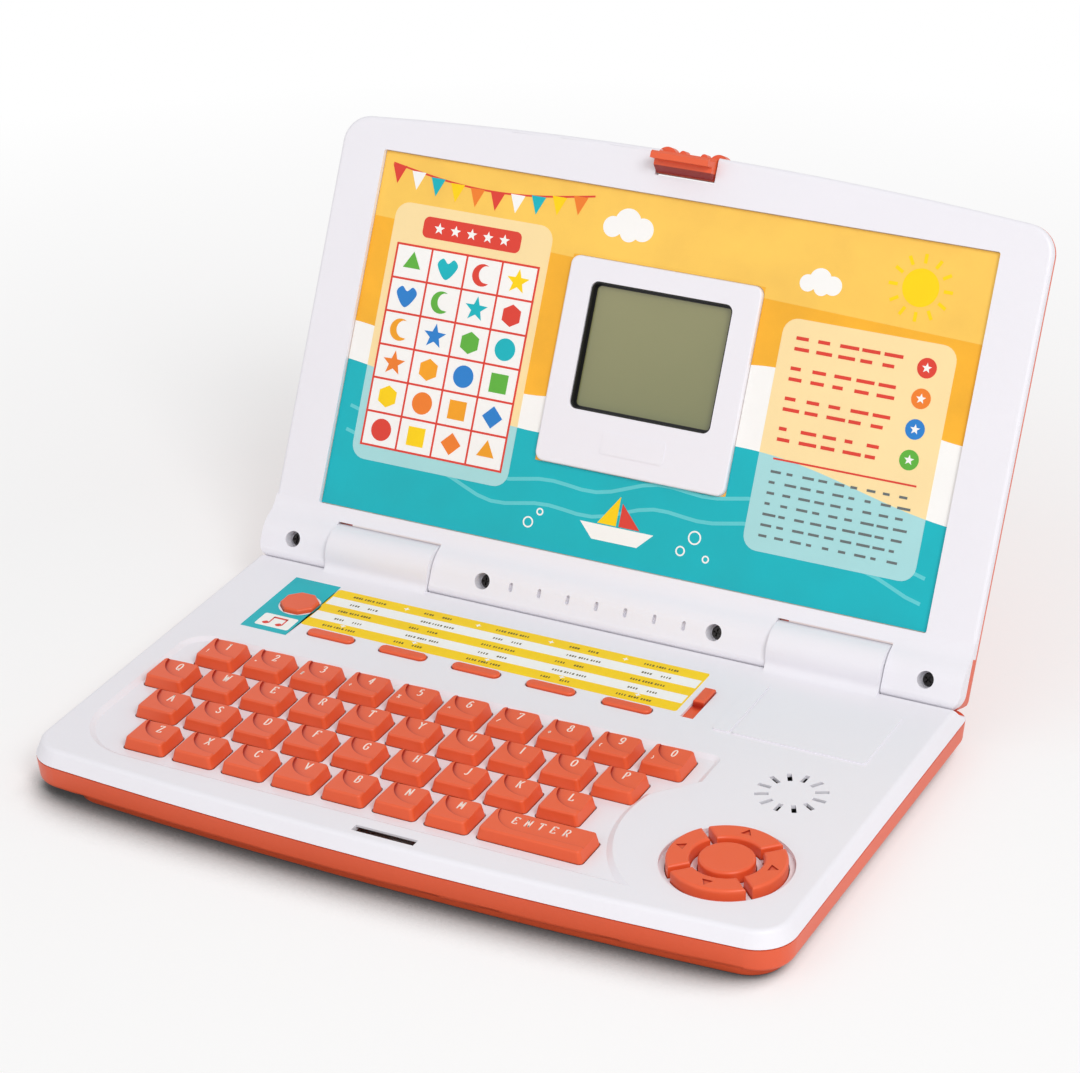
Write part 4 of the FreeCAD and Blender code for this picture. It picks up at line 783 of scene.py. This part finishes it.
GUIDE_LINES = [
    (PILL_FIRST + GUIDE_INDENT + PILL_PITCH * column + GUIDE_STAGGER * (row % 2) + start,
     GUIDE_Y[0] + stripe * (row + WORD_LIFT))
    for column in range(GUIDE_COLUMNS) for row in range(GUIDE_STRIPES)
    for start in ((0.0, 4.2, 8.4), (0.0, 6.6))[(column + row) % 2]]
repeated("guide_lines", TEXT_BARS, word_points(GUIDE_LINES, 4, 0.92, DECK_TOP + LAYER * 1.8), {
    "Length": 0.66, "Height": 1.0, "Thickness": LAYER, "Shortest": 0.5, "Seed": 4,
    "Material": INKS["olive"],
}, DECK, "base")

MELODY_X, MELODY_Y, MELODY_HOLE = -93.0, 41.05, 7.0
TUNE_X, TUNE_Y = (-103.8, -87.0), (21.6, 57.2)
NOTE_INK, NOTE_PEN, BEAM_PEN = LAYER * 2.2, (0.5, 0.5), (0.5, 0.9)
HALF_RING = 16
tune = Print(DECK, DECK_TOP)
ring = circle(MELODY_X, MELODY_Y, MELODY_HOLE, HALF_RING * 2, math.pi / 2)
tune.plate([(MELODY_X, TUNE_Y[1]), (TUNE_X[0], TUNE_Y[1]), (TUNE_X[0], TUNE_Y[0]), (MELODY_X, TUNE_Y[0])]
           + ring[HALF_RING::-1], "teal", LAYER)
tune.plate([(MELODY_X, TUNE_Y[0]), (TUNE_X[1], TUNE_Y[0]), (TUNE_X[1], TUNE_Y[1]), (MELODY_X, TUNE_Y[1])]
           + [ring[0]] + ring[:HALF_RING - 1:-1], "teal", LAYER)
tune.plate(rectangle(-100.3, 24.2, -88.0, 32.0, 0.8), "white", OVERPRINT)
for x in (-97.2, -92.4):
    head = spline([(x - 1.2, 26.2), (x, 25.4), (x + 1.2, 26.4), (x, 27.3)], True)
    tune.plate(head, "red", NOTE_INK)
    tune.stroke([(x + 1.1, 26.4), (x + 1.1, 30.4)], NOTE_PEN, "red", NOTE_INK)
tune.stroke([(-96.3, 30.3), (-91.1, 30.3)], BEAM_PEN, "red", NOTE_INK)
tune.make("melody_label", "base")


# Print on the screen card. Across is x, and up counts from PANEL_START on the lid.

PANEL_LOW, PANEL_HIGH, PANEL_HALF = 13.7, 132.1, 107.4
CARD_TOP = -1.1
PANEL_START = 13.5
PANEL = LID @ Matrix.Translation((0, PANEL_START, 0))
UP_START, UP_END = PANEL_LOW - PANEL_START, PANEL_HIGH - PANEL_START
FRAME_HOLE = (-33.65, 33.65, 28.25, 95.85)
EDGE_STEPS = 40
RIPPLE_MARGIN, RIPPLE_PEN = 4.0, (1.2, 1.2)
PAPER_CORNER = 5.0
RULE_PEN, FIGURE_SIZE = (0.7, 0.7), 3.7
SUN, SUN_RAYS, RAY_REACHES = (84.0, 104.0, 6.0), 12, (7.6, 10.6)
CORD_START, CORD_SPAN, CORD_TOP, CORD_SAG = -104.0, 74.0, 115.0, 4.0
FLAGS, FLAG_HALF, FLAG_DROP = 10, 2.6, 6.0
NOTE_LEFT, NOTE_PITCH, NOTE_LINE = 47.0, 9.6, 3.4
CLOUD_PUFFS = ((-6, 0, 3.4), (-1, 2.0, 4.6), (4.5, 0.4, 3.8), (0, -1, 3.2))
BUBBLES = ((-32.0, 8.0, 1.6), (-28.5, 12.0, 1.0), (22.0, 9.0, 1.4), (26.0, 14.0, 2.0), (31.0, 8.0, 1.0))


def wave(middle, swing, waves, lean, x):
    """The height of a wavy edge across the card."""
    return middle + lean * x / PANEL_HALF + swing * math.sin(waves * math.pi * x / PANEL_HALF)


def white_edge(x):
    """The top of the white band."""
    return wave(60.0, 9.0, 1.4, 7.0, x)


def teal_edge(x):
    """The top of the sea."""
    return wave(41.0, 5.0, 1.4, -3.0, x)


def amber_edge(x):
    """The lower edge of the light sky."""
    return wave(93.5, 0.0, 1.0, -3.5, x)


def across(x0, x1, edge, count=EDGE_STEPS):
    """Points of an edge from one side to the other."""
    places = [x0 + (x1 - x0) * i / count for i in range(count + 1)]
    return [(x, edge(x)) for x in places]


def field(sheet, low, high, ink, height):
    """A field of colour between two edges, left open where the display's frame comes through the card."""
    x0, x1, y0, y1 = FRAME_HOLE
    bands = [(-PANEL_HALF, x0, low, high), (x1, PANEL_HALF, low, high)]
    if low(0.0) < y0:
        bands.append((x0, x1, low, lambda x: min(high(x), y0)))
    if high(0.0) > y1:
        bands.append((x0, x1, lambda x: max(low(x), y1), high))
    for start, end, under, over in bands:
        sheet.plate(across(start, end, under) + across(end, start, over), ink, height)


def fields(sheet):
    """The fields of colour: amber sky, white band and teal sea."""
    field(sheet, amber_edge, lambda x: UP_END, "light_amber", LAYER * 0.5)
    field(sheet, teal_edge, white_edge, "white", LAYER * 0.6)
    field(sheet, lambda x: UP_START, teal_edge, "teal", LAYER)
    reach = PANEL_HALF - RIPPLE_MARGIN
    for lift in (-16.0, -24.0):
        ripple = across(-reach, reach, lambda x: teal_edge(x) + lift + 1.4 * math.sin(x / 6))
        sheet.stroke(ripple, RIPPLE_PEN, "light_teal", LAYER * 1.2)


def paper(sheet, x0, y0, x1, y1):
    """A pale sheet, cream over the sky and pale teal over the sea."""
    outline = rectangle(x0, y0, x1, y1, PAPER_CORNER)
    sheet.plate(outline, "cream", OVERPRINT)
    quarter = len(outline) // 4
    sea_line = across(x1, x0, lambda x: min(teal_edge(x), y1 - PAPER_CORNER - 1))
    sheet.plate(outline[-quarter:] + outline[:quarter] + sea_line, "pale_teal", LAYER * 2.0)


def chart_shape(sheet, kind, x, y, size, ink):
    """One small figure of the shape chart."""
    height = LAYER * 3.4
    if kind == "disc":
        sheet.plate(circle(x, y, size, 24), ink, height)
    elif kind == "square":
        half = size * 0.85
        sheet.plate(rectangle(x - half, y - half, x + half, y + half), ink, height)
    elif kind == "star":
        sheet.plate(star(x, y, size * 1.15), ink, height)
    elif kind == "moon":
        outer = circle(x, y, size, 24, math.radians(60))[:18]
        inner = [(x + size * 0.45 + size * 0.8 * math.cos(t), y + size * 0.1 + size * 0.8 * math.sin(t))
                 for t in [math.radians(250 - 140 * i / 12) for i in range(13)]]
        sheet.plate(outer + inner, ink, height)
    elif kind == "heart":
        outline = ((0, -1), (1, 0.2), (0.55, 0.85), (0, 0.45), (-0.55, 0.85), (-1, 0.2))
        sheet.plate(spline([(x + size * dx, y + size * dy) for dx, dy in outline], True), ink, height)
    else:
        sides = {"triangle": 3, "diamond": 4, "hexagon": 6}[kind]
        sheet.plate(circle(x, y, size, sides, math.pi / 2), ink, height)


def shape_chart(sheet):
    """The left-hand sheet: a ruled chart of figures under a red heading bar."""
    paper(sheet, -100.0, 17.0, -42.0, 103.0)
    sheet.plate(rectangle(-89.0, 92.5, -53.0, 99.5, 2.0), "red", LAYER * 2.6)
    for number in range(5):
        sheet.plate(star(-83.0 + 6.0 * number, 96.0, 2.0), "white", LAYER * 3.2)
    columns, rows = 4, 6
    wide, tall = 13.0, 11.2
    left, low = -97.0, 22.0
    sheet.plate(rectangle(left, low, left + wide * columns, low + tall * rows), "white", LAYER * 2.6)
    for number in range(columns + 1):
        x = left + wide * number
        sheet.stroke([(x, low), (x, low + tall * rows)], RULE_PEN, "red", LAYER * 3.0)
    for number in range(rows + 1):
        y = low + tall * number
        overhang = RULE_PEN[0] / 2
        ends = [(left - overhang, y), (left + wide * columns + overhang, y)]
        sheet.stroke(ends, RULE_PEN, "red", LAYER * 3.2)
    kinds = ("disc", "triangle", "star", "square", "heart", "hexagon", "diamond", "moon")
    inks = ("red", "blue", "yellow", "green", "orange", "teal", "deep_amber")
    for number in range(columns * rows):
        column, row = number % columns, number // columns
        chart_shape(sheet, kinds[(number * 3 + row) % len(kinds)], left + wide * (column + 0.5),
                    low + tall * (row + 0.5), FIGURE_SIZE, inks[(number * 2 + row) % len(inks)])


def button_sheet(sheet):
    """The right-hand sheet: coloured buttons and a red rule; the lines beside the buttons and the block of
    small print are drawn after it.
    """
    paper(sheet, 42.0, 14.0, 100.0, 88.0)
    button_x = 91.0
    for number, ink in enumerate(("red", "orange", "blue", "green")):
        y = 80.0 - NOTE_PITCH * number
        sheet.plate(circle(button_x, y, 3.2, 24), ink, LAYER * 2.8)
        sheet.plate(star(button_x, y, 1.7), "white", LAYER * 3.4)
    sheet.stroke([(NOTE_LEFT, 43.6), (95.0, 43.6)], (0.6, 0.6), "red", LAYER * 2.8)


def sky(sheet):
    """The sun, the clouds and the pennants along the top."""
    sun_x, sun_y, sun_radius = SUN
    sheet.plate(circle(sun_x, sun_y, sun_radius, 40), "yellow", LAYER * 2.0)
    for number in range(SUN_RAYS):
        turn = math.tau * number / SUN_RAYS
        ray = [(sun_x + reach * math.cos(turn), sun_y + reach * math.sin(turn)) for reach in RAY_REACHES]
        sheet.stroke(ray, (1.1, 1.1), "yellow", LAYER * 2.0)
    for cloud_x, cloud_y, size in ((-16.0, 106.5, 1.0), (52.0, 99.5, 0.8)):
        for number, (dx, dy, radius) in enumerate(CLOUD_PUFFS):
            puff = circle(cloud_x + dx * size, cloud_y + dy * size, radius * size, 28)
            sheet.plate(puff, "white", LAYER * (2.0 + 0.2 * number))
    flags = ("red", "white", "teal", "yellow", "orange")

    def hanging(x):
        return CORD_TOP - CORD_SAG * math.sin(math.pi * (x - CORD_START) / CORD_SPAN)

    cord = across(CORD_START, CORD_START + CORD_SPAN, hanging, 3 * FLAGS)
    sheet.stroke(cord, (0.6, 0.6), "red", LAYER * 2.0)
    for number in range(FLAGS):
        x, y = cord[3 * number + 1]
        flag = [(x - FLAG_HALF, y), (x, y - FLAG_DROP), (x + FLAG_HALF, y)]
        sheet.plate(flag, flags[number % len(flags)], LAYER * 2.4)


def sea(sheet):
    """A paper boat and bubbles on the sea."""
    sheet.plate([(-14.0, 12.0), (-9.0, 7.0), (7.0, 7.0), (12.0, 12.0)], "white", LAYER * 2.0)
    sheet.plate([(-8.0, 12.4), (-1.4, 12.4), (-1.4, 22.0)], "yellow", LAYER * 2.0)
    sheet.plate([(-0.4, 12.4), (7.0, 12.4), (-0.4, 20.0)], "red", LAYER * 2.0)
    for x, y, radius in BUBBLES:
        sheet.stroke(circle(x, y, radius, 24), (0.5, 0.5), "white", LAYER * 2.0, closed=True)


card_print = Print(PANEL, CARD_TOP)
fields(card_print)
shape_chart(card_print)
button_sheet(card_print)
sky(card_print)
sea(card_print)
card_print.make("screen_print", "lid")

WORD_LEVEL, WORD_INK = CARD_TOP + LAYER * 2.6, LAYER * 1.4
NOTE_LINES = [(NOTE_LEFT, 82.0 - NOTE_PITCH * row - NOTE_LINE * line)
              for row in range(4) for line in range(2)]
repeated("screen_notes", TEXT_BARS, word_points(NOTE_LINES, 5, 7.4, WORD_LEVEL), {
    "Length": 6.4, "Height": 1.1, "Thickness": WORD_INK, "Shortest": 0.4, "Seed": 7,
    "Material": INKS["red"],
}, PANEL, "lid")
SMALL_LINES = [(NOTE_LEFT, 39.5 - NOTE_LINE * line) for line in range(7)]
repeated("screen_small_print", TEXT_BARS, word_points(SMALL_LINES, 9, 5.4, WORD_LEVEL), {
    "Length": 4.6, "Height": 0.8, "Thickness": WORD_INK, "Shortest": 0.35, "Seed": 3,
    "Material": INKS["grey"],
}, PANEL, "lid")


# Dark border round the display, and the screws

WINDOW_HALF, WINDOW_LOW, WINDOW_HIGH, WINDOW_CORNER = 24.6, 60.6, 101.7, 2.4
GLASS_TOP, DARK_WALL_TOP = -2.35, 0.1
BORDER, DARK_WALL_BAND = 1.0, 0.3


def window_ring(inset):
    """The window's outline, drawn in."""
    return rectangle(-WINDOW_HALF + inset, WINDOW_LOW + inset, WINDOW_HALF - inset, WINDOW_HIGH - inset,
                     WINDOW_CORNER - inset)


# A black ring on the glass round the window's edge, and a thin black band from the glass up along the
# window's edge.
border = Print(LID, GLASS_TOP)
border.stroke(window_ring(BORDER / 2), (BORDER, BORDER), "black", LAYER, closed=True)
border.stroke(window_ring(DARK_WALL_BAND / 2), (DARK_WALL_BAND, DARK_WALL_BAND), "black", DARK_WALL_TOP - GLASS_TOP, closed=True)
border.make("display_border", "lid")

CHIN_SCREW_LEVEL, BASE_SCREW_LEVEL = 1.25, -4.25
CHIN_SCREWS = [(x, 0.0, CHIN_SCREW_LEVEL) for x in (-111.9, -41.0, 41.0, 111.9)]
repeated("lid_screws", SCREWS, CHIN_SCREWS, {
    "Radius": 2.3, "Seed": 5, "Material": BLACK_STEEL,
}, LID, "lid")
SCREW_SPOTS = ((101.0, 65.0), (116.5, -21.5), (116.5, -53.0))
BASE_SCREWS = [(side * x, y, BASE_SCREW_LEVEL) for side in (-1, 1) for x, y in SCREW_SPOTS]
UNDERSIDE = DECK @ Matrix.Rotation(math.pi, 4, "X")
repeated("base_screws", SCREWS, BASE_SCREWS, {
    "Radius": 2.6, "Seed": 9, "Material": PLATED_STEEL,
}, UNDERSIDE, "base")


# Floor, light and camera

# The painted shadow under the front edge: which way the floor looks for light, how far, and how dark it gets
SHADE_LEAN, SHADE_REACH = (0.42, 1.25, 0.0), 0.026
SHADE_DARKEST, SHADE_CLOSED, SHADE_OPEN = 0.08, 0.3, 0.68
# The floor's own glow grows between two distances from the object, so that the far floor is white.
GLOW_NEAR, GLOW_FAR, GLOW_START, GLOW_END = 0.42, 1.0, 0.24, 0.62
FLOOR_REACH, SKY_STRENGTH = 6.0, 0.58
LIGHT_AIM = (0, 0, 0.05)


def painted_contact_shadow(tree):
    """The painted shadow on the floor: how open the floor lies to the back and the right, near what stands
    on it.
    """
    normal = tree.nodes.new("ShaderNodeNewGeometry").outputs["Normal"]
    for operation in ("ADD", "NORMALIZE"):
        node = tree.nodes.new("ShaderNodeVectorMath")
        node.operation = operation
        node.inputs[1].default_value = SHADE_LEAN
        tree.links.new(normal, node.inputs[0])
        normal = node.outputs["Vector"]
    painted_shade_openness = tree.nodes.new("ShaderNodeAmbientOcclusion")
    painted_shade_openness.inputs["Distance"].default_value = SHADE_REACH
    tree.links.new(normal, painted_shade_openness.inputs["Normal"])
    return spread(tree, painted_shade_openness.outputs["AO"], SHADE_DARKEST, 1.0, SHADE_CLOSED, SHADE_OPEN)


def lit_floor(name):
    """A pale floor that keeps the shadow, with a painted shadow near the base, and looks white to the camera
    and in reflections.
    """
    material, tree, shader, place = new_material(name)
    shader.inputs["Roughness"].default_value = 0.9
    # Painted shadow near the base darkens the floor's colour and its glow.
    painted_shade_openness = painted_contact_shadow(tree)
    tree.links.new(mixed(tree, painted_shade_openness, srgb(0, 0, 0), srgb(250, 249, 249)), shader.inputs["Base Color"])
    glow = tree.nodes.new("ShaderNodeEmission")
    tree.links.new(painted_shade_openness, glow.inputs["Strength"])
    rays = tree.nodes.new("ShaderNodeLightPath")
    seen = calculated(tree, "MAXIMUM", rays.outputs["Is Camera Ray"], rays.outputs["Is Glossy Ray"])
    seen = calculated(tree, "MAXIMUM", seen, rays.outputs["Is Transmission Ray"])
    away = tree.nodes.new("ShaderNodeVectorMath")
    away.operation = "LENGTH"
    tree.links.new(place, away.inputs[0])
    glowing = spread(tree, away.outputs["Value"], GLOW_NEAR, GLOW_FAR, GLOW_START, GLOW_END)
    share = calculated(tree, "MULTIPLY", seen, glowing)
    blend = tree.nodes.new("ShaderNodeMixShader")
    tree.links.new(share, blend.inputs["Fac"])
    tree.links.new(shader.outputs[0], blend.inputs[1])
    tree.links.new(glow.outputs[0], blend.inputs[2])
    tree.links.new(blend.outputs[0], tree.nodes["Material Output"].inputs["Surface"])
    return material


def make_floor():
    """A wide floor under the base."""
    mesh = bpy.data.meshes.new("floor")
    corners = rectangle(-FLOOR_REACH, -FLOOR_REACH, FLOOR_REACH, FLOOR_REACH)
    mesh.from_pydata([(x, y, 0) for x, y in corners], [], [(0, 1, 2, 3)])
    mesh.materials.append(lit_floor("studio_floor_painted_shadow"))
    floor = bpy.data.objects.new("floor", mesh)
    bpy.context.scene.collection.objects.link(floor)
    floor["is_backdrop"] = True


def make_world():
    """Even white light all round, full white to the camera and in reflections."""
    world = bpy.data.worlds.new("studio")
    world.use_nodes = True
    tree = world.node_tree
    sky_light = tree.nodes["Background"]
    sky_light.inputs["Color"].default_value = (1.0, 1.0, 1.0, 1.0)
    rays = tree.nodes.new("ShaderNodeLightPath")
    seen = calculated(tree, "MAXIMUM", rays.outputs["Is Camera Ray"], rays.outputs["Is Glossy Ray"])
    tree.links.new(spread(tree, seen, SKY_STRENGTH, 1.0), sky_light.inputs["Strength"])
    bpy.context.scene.world = world


def softbox(name, place, aim, size, power):
    """A square soft light."""
    lamp = bpy.data.lights.new(name, "AREA")
    lamp.shape = "SQUARE"
    lamp.size = size
    lamp.energy = power
    item = bpy.data.objects.new(name, lamp)
    item.location = place
    item.rotation_euler = (Vector(aim) - Vector(place)).to_track_quat("-Z", "Y").to_euler()
    bpy.context.scene.collection.objects.link(item)


def make_camera():
    """The camera at the photograph's angle."""
    data = bpy.data.cameras.new("camera")
    data.sensor_width = 36.0
    data.lens = 116.72
    data.clip_start, data.clip_end = 0.05, 20.0
    camera = bpy.data.objects.new("camera", data)
    camera.location = (0.43729, -0.80879, 0.55239)
    camera.rotation_euler = [math.radians(turn) for turn in (62.7655, 1.1198, 26.9124)]
    bpy.context.scene.collection.objects.link(camera)
    bpy.context.scene.camera = camera


make_floor()
make_world()
softbox("key_light", (1.1, -0.8, 1.35), LIGHT_AIM, size=0.7, power=15.5)
softbox("fill_light", (-0.8, -1.3, 1.0), LIGHT_AIM, size=1.4, power=3.0)
make_camera()
bpy.context.scene.view_settings.view_transform = "Standard"

low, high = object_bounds()
